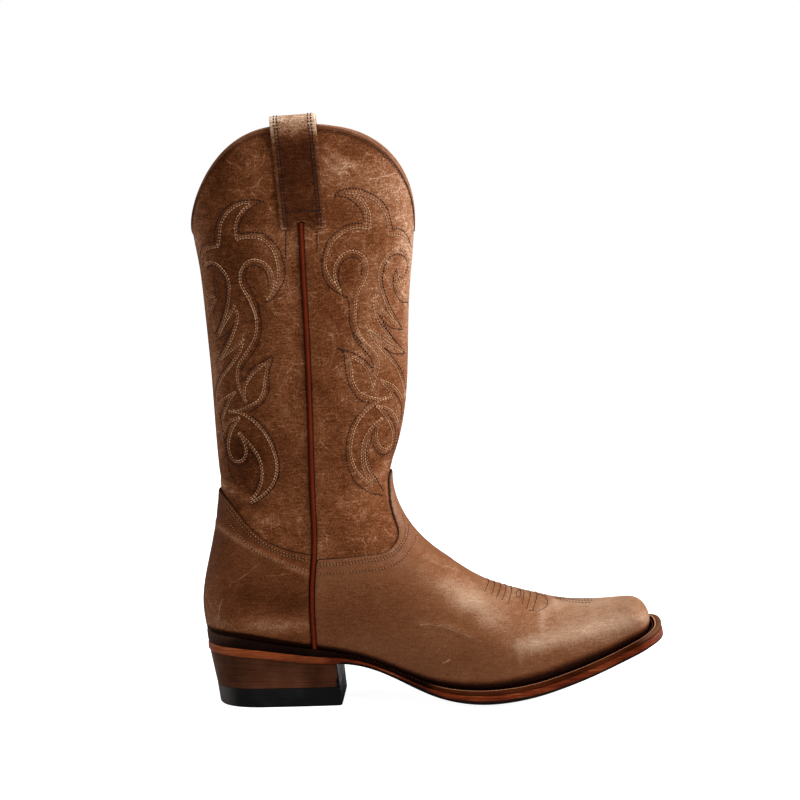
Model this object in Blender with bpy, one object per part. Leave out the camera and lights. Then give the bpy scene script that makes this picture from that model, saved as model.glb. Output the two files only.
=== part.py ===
"""A right western boot, toe along +X, outer side towards -Y, standing on Z = 0.

The upper, its overlays and the sole all come from one form, the last. The form is a half-width worked out for
each point of the side view, from sections that fan round the instep: flat rings up the leg, slanted ones through
the heel and instep, upright ones along the forefoot. Sizes are in millimetres until a mesh is made.
"""

import bmesh
import bpy
import numpy as np

MM = 0.001
MERGE = 1e-6
SHARP_DEGREES = 40
MIDDLE_X = -1.544  # of the box round the boot, which is the origin
MIDDLE_Y = 1.364

# Driving sizes
GAP = 0.3  # between pieces that meet
WALL = 2.2  # upper leather with its lining
OVERLAY = 1.3  # vamp and counter leather
SEAM_X = -74.0  # outer side seam, where the shaft is widest
SEAM_SKEW = -0.064  # the inner seam stands further back, as a share of the width
SHAFT_HALF = 43.0
PIPING_WIDTH = 2.8
PIPING_HEIGHT = 1.9
PIPING_GAP = 0.6  # over the skin, which is hollow near the sole
COLLAR_PEAK = 366.6
COLLAR_DIP_FRONT = 299.3
COLLAR_DIP_BACK = 303.0
COLLAR_PEAK_SHARE = 0.485  # of the ring, from front to back
COLLAR_FRONT_FALL = (2.3, 0.435)  # how the scallop falls from its peak to each dip
COLLAR_BACK_FALL = (3.0, 0.8)
BINDING = 0.8
BINDING_LEG = 2.0
STRAP_THICK = 1.6
STRAP_FOOT = 304.5  # height of its outer end
STRAP_TOP = 375.0
STRAP_TILT = 0.04  # its top rises towards the front
STRAP_FOOT_X = -72.8
STRAP_LEAN = 2.6  # how far its top stands behind its foot
STRAP_NOTCH = 3.6  # over the piping
STRAP_NOTCH_HALF = 5.0
STRAP_CORNER = 1.6
STRAP_COLUMNS = (0.0, 2.4, 4.2, 5.2, 9.0, 12.8, 14.5)  # from its middle to its edge
STRAP_SPREAD = 4.7  # half the loop's width at the collar, in the middle of the leather
STRAP_SPREAD_FROM = 346.0
STRAP_ARCH_FROM = 368.4
STRAP_ARCH_POWER = 2.4
STRAP_INSIDE_FOOT = 312.0
STRAP_INSIDE_GAP = 1.0
INSOLE_INSET = 3.2
INSOLE_RISE = 1.0
STRIP_INSET = 2.5  # welt and rand, inwards from the skin
TOE_LIFT = 0.38  # slope of the welt ahead of the upper
HEEL_BREAST = -62.4
HEEL_CAP_HEIGHT = 12.3
HEEL_CAP_BEVEL = 0.7

# The fan of sections turns about this point, ahead of the instep
PIVOT_X = 68.0
PIVOT_Z = 146.0
RIDGE_POWER = 2.05
HEEL_POWER = 2.2
TOE_POWER = 2.5
TOE_REACH = 10.0
TUCK_FROM = 0.5


def table(columns, *rows):
    return dict(zip(columns.split(), np.array(rows, float).T))


# Front of the upper from the toe at the welt, over the instep and up to the collar and on
FRONT = table(
    "x z",
    (136.5, 41.8),
    (135.6, 48.0),
    (131.6, 54.4),
    (124.5, 57.2),
    (105.0, 55.8),
    (85.0, 56.7),
    (66.0, 60.5),
    (48.0, 65.7),
    (28.0, 74.2),
    (8.0, 88.5),
    (-9.0, 103.6),
    (-19.6, 119.3),
    (-24.6, 134.0),
    (-25.0, 147.5),
    (-21.3, 159.5),
    (-16.1, 178.3),
    (-12.8, 200.6),
    (-11.0, 230.0),
    (-8.7, 264.3),
    (-6.0, 288.0),
    (-4.6, 305.0),
    (-3.2, 340.0),
    (-2.6, 380.0),
)
# Back of the upper from the heel seat up to the collar and on
BACK = table(
    "x z",
    (-144.8, 44.6),
    (-147.1, 65.3),
    (-144.3, 84.9),
    (-139.6, 104.3),
    (-135.9, 123.7),
    (-134.3, 137.0),
    (-134.8, 152.0),
    (-135.9, 174.0),
    (-137.2, 212.0),
    (-140.2, 259.1),
    (-142.6, 282.0),
    (-146.4, 303.0),
    (-148.4, 330.0),
    (-149.2, 380.0),
)
# The line where the upper meets the welt and rand, from the heel seat to the toe
FEATHER = table(
    "x z",
    (-144.8, 44.6),
    (-128.0, 43.8),
    (-110.0, 42.2),
    (-85.0, 38.9),
    (-66.0, 36.0),
    (-47.6, 31.6),
    (-22.4, 22.4),
    (-3.6, 15.6),
    (15.0, 12.4),
    (28.0, 11.7),
    (46.6, 12.4),
    (66.0, 15.2),
    (91.0, 22.2),
    (117.0, 32.2),
    (136.5, 41.8),
)
# Sections: station is degrees of the fan, less a millimetre for each of height on the leg, more for each of length
# on the forefoot; half-widths to each side, how far each draws in at the welt, how deep the ridge is rounded
SECTIONS = table(
    "station outer inner outer_tuck inner_tuck reach ridge",
    (-234.0, 43.0, 43.0, 0.0, 0.0, 73.5, 0.0),
    (-157.0, 43.5, 43.5, 0.0, 0.0, 71.0, 0.0),
    (-104.0, 43.0, 43.0, 0.0, 0.0, 65.5, 0.0),
    (-54.0, 41.0, 41.0, 0.0, 0.0, 62.0, 0.0),
    (-24.0, 38.5, 38.5, 0.0, 0.0, 58.5, 0.0),
    (0.0, 36.0, 36.0, 0.0, 0.0, 54.5, 0.0),
    (15.0, 34.0, 34.0, 0.0, 0.0, 50.0, 0.0),
    (26.0, 32.4, 32.4, 4.0, 4.0, 44.0, 0.0),
    (37.0, 32.8, 32.5, 4.2, 5.5, 38.0, 1.0),
    (45.0, 35.0, 35.0, 6.5, 11.0, 35.0, 2.5),
    (52.0, 37.2, 36.8, 5.6, 11.5, 33.0, 3.2),
    (60.0, 39.8, 39.8, 4.0, 8.0, 32.0, 4.0),
    (67.0, 42.2, 42.8, 2.2, 4.2, 31.0, 4.4),
    (74.0, 43.7, 45.2, 1.7, 2.2, 31.0, 4.8),
    (82.0, 42.2, 46.6, 1.7, 2.0, 30.0, 5.0),
    (90.0, 38.8, 45.0, 1.6, 1.8, 28.0, 5.0),
    (112.0, 33.4, 39.8, 1.3, 1.5, 22.0, 4.6),
    (134.0, 28.6, 35.0, 1.0, 1.2, 15.0, 4.0),
    (147.0, 26.4, 32.8, 0.8, 1.0, 9.0, 3.6),
    (158.5, 25.0, 31.4, 0.8, 1.0, 6.0, 3.2),
)
# How far ahead of its back the form reaches its full width
HEEL_ROUND = table(
    "z reach",
    (40.0, 31.0),
    (95.0, 33.0),
    (120.0, 42.0),
    (146.0, 54.5),
    (200.0, 62.0),
    (300.0, 71.0),
    (380.0, 73.5),
)
# Top edge of the vamp, from the side seam to the top of its tongue and out past the front
VAMP_LINE = table(
    "x z",
    (-74.0, 95.3),
    (-57.6, 96.3),
    (-38.0, 97.0),
    (-27.5, 98.8),
    (-21.8, 103.1),
    (-20.4, 107.8),
    (-22.0, 114.5),
    (-25.2, 125.5),
    (-26.5, 137.0),
    (-25.2, 145.0),
    (-22.0, 147.0),
)
# Top edge of the counter, from behind the back to the side seam
COUNTER_LINE = table(
    "x z",
    (-141.0, 141.5),
    (-134.3, 135.5),
    (-127.3, 128.5),
    (-116.3, 119.2),
    (-105.0, 110.4),
    (-90.5, 102.4),
    (-74.0, 98.4),
)
# Sole: how far its edge stands out of the upper's skin, welt or rand and sole thickness, how deep the upright edge
# is, how far the bottom is cut in under it, how far the middle of the bottom hangs below its edge
SOLE = table(
    "x stands strip thick edge under crown",
    (-148.0, 1.6, 4.8, 5.2, 4.6, 0.4, 0.0),
    (-120.0, 2.6, 4.4, 5.0, 4.4, 0.4, 0.0),
    (-90.0, 2.8, 3.2, 4.6, 4.0, 0.4, 0.0),
    (-62.0, 2.6, 2.2, 4.0, 3.4, 1.0, 0.0),
    (-40.0, 2.4, 2.0, 3.8, 2.2, 4.0, 0.6),
    (-15.0, 3.6, 2.2, 4.4, 2.2, 4.0, 2.2),
    (10.0, 5.6, 2.6, 5.2, 4.0, 1.6, 3.4),
    (30.0, 6.4, 2.8, 5.6, 4.8, 0.8, 3.8),
    (60.0, 6.6, 2.8, 5.5, 4.7, 0.8, 3.4),
    (90.0, 6.8, 2.8, 5.4, 4.6, 0.8, 2.4),
    (125.0, 7.6, 2.8, 5.4, 4.6, 0.8, 1.4),
    (150.0, 10.4, 2.8, 6.4, 5.6, 0.8, 1.0),
)
# Heel, top to bottom: how far it is drawn in at the sides, the back and the breast
HEEL = table(
    "level sides back breast",
    (0.0, 0.4, 0.4, 0.0),
    (0.5, 1.0, 2.4, 0.8),
    (1.0, 1.6, 4.4, 1.6),
)
HEEL_CAP = table(
    "level sides back breast",
    (0.0, 1.6, 4.4, 1.6),
    (1.0, 2.4, 6.0, 2.6),
)


def spline(knots, values):
    """A natural cubic through the rows of a table, held at its ends."""
    steps = np.diff(knots)
    count = len(knots)
    system = np.eye(count)
    right = np.zeros(count)
    for i in range(1, count - 1):
        system[i, i - 1 : i + 2] = steps[i - 1], 2 * (steps[i - 1] + steps[i]), steps[i]
        right[i] = 6 * np.diff(np.diff(values[i - 1 : i + 2]) / steps[i - 1 : i + 1])[0]
    bend = np.linalg.solve(system, right)

    def at(x):
        x = np.clip(x, knots[0], knots[-1])
        i = np.clip(np.searchsorted(knots, x) - 1, 0, count - 2)
        before = (knots[i + 1] - x) / steps[i]
        after = 1 - before
        line = before * values[i] + after * values[i + 1]
        return line + ((before**3 - before) * bend[i] + (after**3 - after) * bend[i + 1]) * steps[i] ** 2 / 6

    return at


def lengths_of(rows):
    """Share of the way along a table of x and z at each row."""
    lengths = np.concatenate([[0], np.cumsum(np.hypot(np.diff(rows["x"]), np.diff(rows["z"])))])
    return lengths / lengths[-1]


def curve(rows):
    """A table of x and z as a smooth curve of its share of length."""
    x, z = (spline(lengths_of(rows), rows[name]) for name in "xz")
    return lambda share: np.stack([x(share), z(share)], -1)


def column(rows, name, by):
    return spline(rows[by], rows[name])


DENSE = np.linspace(0, 1, 801)
front_curve, back_curve, feather_curve = curve(FRONT), curve(BACK), curve(FEATHER)
vamp_curve, counter_curve = curve(VAMP_LINE), curve(COUNTER_LINE)
feather_z = column(FEATHER, "z", "x")
back_x = column(BACK, "x", "z")
heel_reach = column(HEEL_ROUND, "reach", "z")
section = {name: column(SECTIONS, name, "station") for name in SECTIONS if name != "station"}
sole = {name: column(SOLE, name, "x") for name in SOLE if name != "x"}
TOE_TIP = FRONT["x"][0]


def station_depth(x, z):
    """Which section of the fan a point of the side view is on, and how far from the pivot's corner."""
    back = np.maximum(PIVOT_X - x, 0)
    down = np.maximum(PIVOT_Z - z, 0)
    turn = np.degrees(np.arctan2(down, back))
    return turn + np.maximum(x - PIVOT_X, 0) - np.maximum(z - PIVOT_Z, 0), np.hypot(back, down)


def side_point(station, depth):
    turn = np.radians(np.clip(station, 0, 90))
    x = PIVOT_X - depth * np.cos(turn) + np.maximum(station - 90, 0)
    z = PIVOT_Z - depth * np.sin(turn) - np.minimum(station, 0)
    return x, z


def depth_of(points):
    """Depth of a dense line of points as a function of the section."""
    station, depth = station_depth(points[:, 0], points[:, 1])
    order = np.argsort(station, kind="stable")
    return lambda at: np.interp(at, station[order], depth[order])


front_depth = depth_of(front_curve(DENSE))
far_depth = depth_of(np.concatenate([back_curve(DENSE), feather_curve(DENSE)]))


def rounded(share, power):
    """A quarter round: nothing at 0, all at 1."""
    return (1 - (1 - np.clip(share, 0, 1)) ** power) ** (1 / power)


def skin_y(x, z, side):
    """Where the skin of the last stands across, at a point of the side view; side is -1 outer, 1 inner."""
    station, depth = station_depth(x, z)
    inwards = depth - front_depth(station)
    share = inwards / np.maximum(far_depth(station) - front_depth(station), 1e-6)
    draw = np.clip((share - TUCK_FROM) / (1 - TUCK_FROM), 0, 1) ** 2
    name = "outer" if side < 0 else "inner"
    half = section[name](station) - section[name + "_tuck"](station) * draw
    fill = rounded(inwards / section["reach"](station), RIDGE_POWER)
    fill = fill * rounded((x - back_x(z)) / heel_reach(z), HEEL_POWER)
    fill = fill * rounded((TOE_TIP - x) / TOE_REACH, TOE_POWER)
    return section["ridge"](station) * (1 - fill) + side * half * fill


def wrapped(x, z):
    """A grid of the side view, its last column on the centre line, carried round both sides of the form."""
    sides = [np.stack([x, skin_y(x, z, side), z], -1) for side in (-1, 1)]
    sides[0][:, -1, 1] = section["ridge"](station_depth(x, z)[0])[:, -1]
    return np.concatenate([sides[0], sides[1][:, -2::-1]], axis=1)


def unit(vectors):
    return vectors / np.maximum(np.linalg.norm(vectors, axis=-1, keepdims=True), 1e-9)


def grid_normals(grid):
    normals = unit(np.cross(np.gradient(grid, axis=1), np.gradient(grid, axis=0)))
    outwards = np.sign(np.nanmean(normals[:, 0, 1] * -1)) or 1.0
    return normals * outwards


def collar_height(share):
    """The scallop: how high the collar stands at a share of the ring from front to back."""
    ahead = np.clip((COLLAR_PEAK_SHARE - share) / COLLAR_PEAK_SHARE, 0, 1)
    behind = np.clip((share - COLLAR_PEAK_SHARE) / (1 - COLLAR_PEAK_SHARE), 0, 1)
    front = (1 - ahead ** COLLAR_FRONT_FALL[0]) ** COLLAR_FRONT_FALL[1]
    back = (1 - behind ** COLLAR_BACK_FALL[0]) ** COLLAR_BACK_FALL[1]
    dip = np.where(share < COLLAR_PEAK_SHARE, COLLAR_DIP_FRONT, COLLAR_DIP_BACK)
    return dip + (COLLAR_PEAK - dip) * front * back


# How finely each piece is divided
LEG_ROWS = 10
FAN_ROWS = 4
WELT_ROWS = 26
RING_POINTS = 12
OPEN_STATION = 45.0  # from here on a section's points crowd to the ridge alone
LINE_POINTS = 21
PIPING_ROWS = 22
PIPING_POINTS = 6
STRAP_LEG_ROWS = 6
STRAP_ARCH_ROWS = 8
STRAP_FOOT_ROWS = 1
SOLE_POINTS = 6
HEEL_POINTS = 5
OUTSIDE = 200.0  # past the form, for cutters
FINISHES = {
    "shaft leather": ((0.17, 0.07, 0.032), 0.5),
    "vamp leather": ((0.28, 0.14, 0.08), 0.45),
    "counter leather": ((0.09, 0.032, 0.014), 0.5),
    "strap leather": ((0.06, 0.02, 0.009), 0.5),
    "piping": ((0.073, 0.014, 0.005), 0.4),
    "sole leather": ((0.1, 0.03, 0.012), 0.35),
    "insole": ((0.3, 0.19, 0.1), 0.7),
    "welt": ((0.06, 0.02, 0.01), 0.4),
    "rand": ((0.017, 0.006, 0.004), 0.4),
    "heel leather": ((0.05, 0.017, 0.009), 0.35),
    "rubber": ((0.006, 0.005, 0.006), 0.6),
}
TOE_NORMAL = (1, 0, TOE_LIFT)


def welt_rows():
    """Where along the welt the sections and the sole's rungs stand, close together at heel and toe."""
    middle, half = 0.5 * (BACK["x"][0] + TOE_TIP), 0.5 * (TOE_TIP - BACK["x"][0])
    x = middle - half * np.cos(np.pi * np.linspace(0, 1, WELT_ROWS))
    x[np.argmin(np.abs(x - HEEL_BREAST))] = HEEL_BREAST
    return x


WELT_X = welt_rows()


def upper_grid():
    """The skin from collar to toe, each row from the back or welt over the front to the other side."""
    turn = np.linspace(0, 1, RING_POINTS)
    both_ends = 0.5 - 0.5 * np.cos(np.pi * turn)
    one_end = 1 - np.cos(0.5 * np.pi * turn)
    under_binding = 1 - BINDING_LEG / (COLLAR_DIP_FRONT - PIVOT_Z)
    rows = []
    for level in np.append(1, np.linspace(under_binding, 0, LEG_ROWS, endpoint=False)):
        z = PIVOT_Z + level * (collar_height(both_ends) - PIVOT_Z)
        ahead, behind = (PIVOT_X - depth(PIVOT_Z - z) for depth in (front_depth, far_depth))
        rows.append((ahead + both_ends * (behind - ahead), z))
    foot = station_depth(WELT_X, feather_z(WELT_X))[0]
    for station in np.append(np.linspace(0, foot[0], FAN_ROWS, endpoint=False), foot):
        closed = np.clip((OPEN_STATION - station) / (OPEN_STATION - foot[0]), 0, 1)
        share = closed * both_ends + (1 - closed) * one_end
        ahead, behind = front_depth(station), far_depth(station)
        rows.append(side_point(np.full(RING_POINTS, station), ahead + share * (behind - ahead)))
    x, z = (np.stack([row[i] for row in rows])[:, ::-1] for i in (0, 1))
    shut = np.arange(len(rows)) <= len(rows) - WELT_ROWS
    grid = wrapped(x, z)
    grid[np.ix_(shut, (0, -1), (1,))] = 0
    normals = grid_normals(grid)
    normals[shut, 0] = normals[shut, -1] = unit(normals[shut, 0] + normals[shut, -1])
    normals[-1] = TOE_NORMAL
    slope = np.gradient(feather_z(WELT_X), WELT_X)
    for end in (0, -1):
        normals[-WELT_ROWS:, end, 2] = slope * normals[-WELT_ROWS:, end, 0]
    return grid, unit(normals), len(rows) - WELT_ROWS


def material_of(name, colour, roughness):
    material = bpy.data.materials.new(name)
    material.use_nodes = True
    shader = material.node_tree.nodes["Principled BSDF"]
    shader.inputs["Base Color"].default_value = (*colour, 1)
    shader.inputs["Roughness"].default_value = roughness
    shader.inputs["Metallic"].default_value = 0
    return material


def placed(points):
    """Points of the tables in metres, with the origin in the middle of the boot's box."""
    return (np.reshape(points, (-1, 3)) - (MIDDLE_X, MIDDLE_Y, 0)) * MM


def outwards(mesh):
    """Merges doubles and turns the faces outwards."""
    form = bmesh.new()
    form.from_mesh(mesh)
    bmesh.ops.remove_doubles(form, verts=form.verts, dist=MERGE)
    bmesh.ops.recalc_face_normals(form, faces=form.faces)
    form.to_mesh(mesh)
    form.free()


def solid(name, points, faces, finish):
    """One closed mesh, from points in millimetres."""
    mesh = bpy.data.meshes.new(name)
    mesh.from_pydata(placed(points).tolist(), [], np.concatenate(faces).tolist())
    outwards(mesh)
    mesh.shade_smooth()
    mesh.set_sharp_from_angle(angle=np.radians(SHARP_DEGREES))
    mesh.materials.append(finish)
    made = bpy.data.objects.new(name, mesh)
    bpy.context.scene.collection.objects.link(made)
    return made


def facets(ids):
    """Triangles between neighbouring rows and columns of a grid of point numbers, all split the same way."""
    halves = (ids[:-1, :-1], ids[:-1, 1:], ids[1:, 1:]), (ids[:-1, :-1], ids[1:, 1:], ids[1:, :-1])
    return np.concatenate([np.stack(half, -1).reshape(-1, 3) for half in halves])


def skin_solid(name, grid, normals, lifts, finish, first_open_row):
    """A leather wall between two offsets of the skin, with faces round its edges."""
    rows, columns = grid.shape[:2]
    outer = np.arange(rows * columns).reshape(rows, columns)
    inner = outer + rows * columns
    edges = [np.stack([outer[0], inner[0]])]
    edges += [np.stack([outer[first_open_row:, end], inner[first_open_row:, end]]) for end in (0, -1)]
    faces = [facets(outer), facets(inner)[:, ::-1], *(facets(edge) for edge in edges)]
    return solid(name, [grid + lift * normals for lift in lifts], faces, finish)


def skew(y):
    """How far a line of the side view moves along, from the outer side to a place across."""
    return SEAM_SKEW * (y + SHAFT_HALF)


def keep_inside(piece, line):
    """Cuts a piece to the part of the side view inside a closed line, through both sides of the form."""
    count = len(line)
    points = np.concatenate([np.insert(line + (skew(y), 0), 1, y, axis=1) for y in (-OUTSIDE, OUTSIDE)])
    ids = np.arange(2 * count).reshape(2, count)
    mesh = bpy.data.meshes.new(piece.name + "_outline")
    walls = np.stack([ids[0], np.roll(ids[0], -1), np.roll(ids[1], -1), ids[1]], -1)
    mesh.from_pydata((placed(points)).tolist(), [], [*walls.tolist(), ids[0, ::-1].tolist(), ids[1].tolist()])
    outwards(mesh)
    cutter = bpy.data.objects.new(mesh.name, mesh)
    cutter.hide_render = True
    cutter.display_type = "WIRE"
    bpy.context.scene.collection.objects.link(cutter)
    cut = piece.modifiers.new("outline", "BOOLEAN")
    cut.operation = "INTERSECT"
    cut.solver = "EXACT"
    cut.object = cutter


def make_overlays(grid, normals, first_open_row, vamp_finish, counter_finish):
    """Vamp and counter: one layer of leather on the skin, cut by their outlines, clear of the piping."""
    lifts = (GAP + OVERLAY, GAP)
    foot = LEG_ROWS - 1
    clear = PIPING_WIDTH / 2 + GAP
    share = np.linspace(0, 1, LINE_POINTS)
    for name, line, seam, far, finish in (
        ("vamp", vamp_curve(share), SEAM_X + clear, OUTSIDE, vamp_finish),
        ("counter", counter_curve(share)[::-1], SEAM_X - clear, -OUTSIDE, counter_finish),
    ):
        line[0, 0] = seam
        around = [(far, line[-1, 1]), (far, -OUTSIDE), (seam, -OUTSIDE)]
        piece = skin_solid(name, grid[foot:], normals[foot:], lifts, finish, first_open_row - foot)
        keep_inside(piece, np.concatenate([line, around]))


def swept(name, rings, finish, capped=True):
    """A closed profile carried along a path: one ring of points for each row."""
    rows, columns = rings.shape[:2]
    ids = np.arange(rows * columns).reshape(rows, columns)
    faces = [facets(np.concatenate([ids, ids[:, :1]], axis=1))]
    if capped:
        for end in (0, -1):
            ring = ids[end]
            half = columns // 2
            strip = np.stack([ring[: half + 1], np.concatenate([ring[:1], ring[: half - 1 : -1]])[: half + 1]])
            faces.append(facets(strip))
    return solid(name, rings, faces, finish)


def side_normal(x, z, side):
    """Outward normal of the skin at a point of the side view, away from its centre lines."""
    step = 0.5
    slope_x = (skin_y(x + step, z, side) - skin_y(x - step, z, side)) / (2 * step)
    slope_z = (skin_y(x, z + step, side) - skin_y(x, z - step, side)) / (2 * step)
    return unit(side * np.stack([-slope_x, np.ones_like(slope_x), -slope_z], -1))


def make_piping(name, side, finish):
    """The cord of a side seam: a half round, flat on the skin, from the sole to under the pull strap."""
    low = feather_z(SEAM_X + skew(side * SHAFT_HALF)) + 2 * GAP
    z = np.linspace(low, STRAP_FOOT + STRAP_NOTCH - 5 * GAP, PIPING_ROWS)
    x = SEAM_X + skew(skin_y(np.full_like(z, SEAM_X), z, side))
    spine = np.stack([x, skin_y(x, z, side), z], -1)
    out = side_normal(x, z, side)
    along = unit(np.gradient(spine, axis=0))
    over = unit(np.cross(along, out))
    turn = np.linspace(0, np.pi, PIPING_POINTS)
    across = PIPING_WIDTH / 2 * np.cos(turn)
    height = PIPING_GAP + PIPING_HEIGHT * np.sin(turn)
    rings = spine[:, None] + over[:, None] * across[:, None] + out[:, None] * height[:, None]
    return swept(name, rings, finish)


def make_binding(grid, normals, finish):
    """A folded strip over the collar's edge, on the first two rows of the skin, round the whole scallop."""
    lip = GAP + BINDING
    inside = -WALL - GAP
    profile = (
        (1, GAP, 0),
        (1, lip, 0),
        (0, lip, GAP),
        (0, GAP, lip),
        (0, inside, lip),
        (0, inside - BINDING, GAP),
        (1, inside - BINDING, 0),
        (1, inside, 0),
        (0, inside, GAP),
        (0, GAP, GAP),
    )
    up = unit(grid[0] - grid[1])
    points = np.stack([grid[row] + normals[row] * out + up * rise for row, out, rise in profile])
    ids = np.arange(points[..., 0].size).reshape(points.shape[:2])
    pairs = [(i, (i + 1) % len(profile)) for i in range(len(profile))]
    pairs = [sorted(pair, key=lambda i: (profile[i][0], -profile[i][1])) for pair in pairs]
    return solid("collar_binding", points, [facets(ids[pair]) for pair in pairs], finish)


def strap_path():
    """Middle of the strap's leather in section: how far out of the skin and how high, outside to inside."""
    middle = -WALL / 2
    flat = GAP + STRAP_THICK / 2, -WALL - STRAP_INSIDE_GAP - STRAP_THICK / 2
    legs = []
    for rest, foot, way in zip(flat, (STRAP_FOOT, STRAP_INSIDE_FOOT), (1, -1)):
        z = foot + (STRAP_ARCH_FROM - foot) * np.linspace(0, 1, STRAP_LEG_ROWS)
        spread = np.clip((z - STRAP_SPREAD_FROM) / (STRAP_ARCH_FROM - STRAP_SPREAD_FROM), 0, 1)
        spread = spread**2 * (3 - 2 * spread)
        legs.append(np.stack([rest + (middle + way * STRAP_SPREAD - rest) * spread, z], -1))
    turn = np.linspace(0, np.pi, STRAP_ARCH_ROWS)[1:-1]
    power = 2 / STRAP_ARCH_POWER
    rise = STRAP_TOP - STRAP_THICK / 2 - STRAP_ARCH_FROM
    arch_out = middle + STRAP_SPREAD * np.sign(np.cos(turn)) * np.abs(np.cos(turn)) ** power
    arch = np.stack([arch_out, STRAP_ARCH_FROM + rise * np.sin(turn) ** power], -1)
    return np.concatenate([legs[0], arch, legs[1][::-1]])


def make_strap(name, side, finish):
    """A pull strap: a band of leather over the collar, its outer foot notched over the piping."""
    path = strap_path()
    along = unit(np.gradient(path, axis=0))
    out = np.stack([along[:, 1], -along[:, 0]], -1)
    across = np.concatenate([-np.array(STRAP_COLUMNS[:0:-1]), STRAP_COLUMNS])
    notch = np.clip(1 - (across / STRAP_NOTCH_HALF) ** 2, 0, 1) ** 0.5
    foot_rise = STRAP_NOTCH * notch + STRAP_CORNER * (np.abs(across) == STRAP_COLUMNS[-1])
    near_foot = np.clip(1 - np.arange(len(path)) / STRAP_FOOT_ROWS, 0, 1)
    faces = []
    for lift in (STRAP_THICK / 2, -STRAP_THICK / 2):
        off = path + lift * out
        up = (off[:, 1:] - STRAP_FOOT) / (STRAP_TOP - STRAP_FOOT)
        z = off[:, 1:] + near_foot[:, None] * foot_rise + STRAP_TILT * up * across
        lean = STRAP_LEAN * up
        x = STRAP_FOOT_X + skew(side * SHAFT_HALF) - lean + across
        faces.append(np.stack([x, skin_y(x, z, side) + side * off[:, :1], z], -1))
    rows, columns = faces[0].shape[:2]
    outer = np.arange(rows * columns).reshape(rows, columns)
    ring = np.concatenate([outer[0], outer[1:, -1], outer[-1, -2::-1], outer[-2:0:-1, 0], outer[0, :1]])
    inner = outer + rows * columns
    skins = [facets(outer), facets(inner)[:, ::-1], facets(np.stack([ring, ring + rows * columns]))]
    return solid(name, faces, skins, finish)


def seat_z(x):
    """Height of the welt line, carried on ahead of the toe."""
    return feather_z(x) + TOE_LIFT * np.maximum(x - TOE_TIP, 0)


def sole_outline(offset):
    """Plan of the sole, heel to toe along each side, at an offset from the upper's skin."""
    sides = [np.stack([WELT_X, skin_y(WELT_X, feather_z(WELT_X), side)], -1) for side in (-1, 1)]
    for plan in sides:
        plan[0, 1] = 0
        plan[-1, 1] = section["ridge"](SECTIONS["station"][-1])
    loop = np.concatenate([sides[0], sides[1][-2:0:-1]])
    along = unit(np.roll(loop, -1, axis=0) - np.roll(loop, 1, axis=0))
    loop = loop + np.stack([along[:, 1], -along[:, 0]], -1) * offset(loop[:, 0])[:, None]
    return loop[:WELT_ROWS], np.concatenate([loop[:1], loop[: WELT_ROWS - 2 : -1]])


def rungs(plan, shares):
    """Points across the sole between its two sides, one row for each step from heel to toe."""
    outer, inner = plan
    return outer[:, None] + shares[None, :, None] * (inner - outer)[:, None]


def with_height(plan, z):
    return np.concatenate([plan, np.broadcast_to(z, plan.shape[:-1])[..., None]], -1)


def outsole_top(x):
    return seat_z(x) - 2 * GAP - sole["strip"](x)


def make_outsole(finish):
    """The sole: flat on top, an upright edge, a bevel, and a bottom that hangs to the floor under the ball."""
    shares = np.linspace(0, 1, SOLE_POINTS)
    rim = sole_outline(sole["stands"])
    top = rungs(rim, shares)
    top = with_height(top, outsole_top(top[..., 0]))
    edge = rungs(rim, np.array([0.0, 1.0]))
    edge = with_height(edge, outsole_top(edge[..., 0]) - sole["edge"](edge[..., 0]))
    low = rungs(sole_outline(lambda x: sole["stands"](x) - sole["under"](x)), shares)
    hang = sole["crown"](low[..., 0]) * (1 - (2 * shares - 1) ** 2)
    low = with_height(low, np.maximum(outsole_top(low[..., 0]) - sole["thick"](low[..., 0]) - hang, 0))
    rings = np.concatenate([top, edge[:, 1:], low[:, ::-1], edge[:, :1]], axis=1)
    return swept("outsole", rings, finish, capped=False)


def make_insole(finish):
    shares = np.linspace(0, 1, SOLE_POINTS)
    plan = rungs(sole_outline(lambda x: np.full_like(x, -INSOLE_INSET)), shares)
    top = with_height(plan, seat_z(plan[..., 0]) + INSOLE_RISE)
    low = with_height(plan, outsole_top(plan[..., 0]) + GAP)
    return swept("insole", np.concatenate([top, low[:, ::-1]], axis=1), finish, capped=False)


def make_strip(name, round_toe, finish):
    """Welt or rand: a strip under the upper's edge, round the toe or the heel, to the heel's breast."""
    keep = WELT_X >= HEEL_BREAST if round_toe else WELT_X <= HEEL_BREAST
    end_x = HEEL_BREAST + GAP / 2 * (1 if round_toe else -1)
    levels = []
    for offset in (sole["stands"], lambda x: np.full_like(x, -STRIP_INSET)):
        outer, inner = (plan[keep] for plan in sole_outline(offset))
        loop = np.concatenate([outer, inner[-2::-1]] if round_toe else [inner[::-1], outer[1:]])
        loop[[0, -1], 0] = end_x
        high = seat_z(loop[:, 0]) - GAP
        levels.append([with_height(loop, high), with_height(loop, high - sole["strip"](loop[:, 0]))])
    (outer_top, outer_low), (inner_top, inner_low) = levels
    return swept(name, np.stack([outer_top, inner_top, inner_low, outer_low], axis=1), finish)


def heel_level(rows, share, z):
    """Plan of the heel at a level of its table, drawn in from the sole's own outline."""
    outer, inner = sole_outline(lambda x: sole["stands"](x) - sole["under"](x))
    keep = WELT_X <= HEEL_BREAST
    sides, back, breast = (np.interp(share, rows["level"], rows[name]) for name in ("sides", "back", "breast"))
    plan = rungs((outer[keep], inner[keep]), np.linspace(0, 1, HEEL_POINTS))
    x, y = plan[..., 0], plan[..., 1]
    first, last = x.min(), x[-1].mean()
    along = (x - first) / (last - first)
    x = first + back + along * (HEEL_BREAST + breast - first - back)
    half = np.abs(y).max()
    return with_height(np.stack([x, y * (1 - sides / half)], -1), z)


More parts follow.
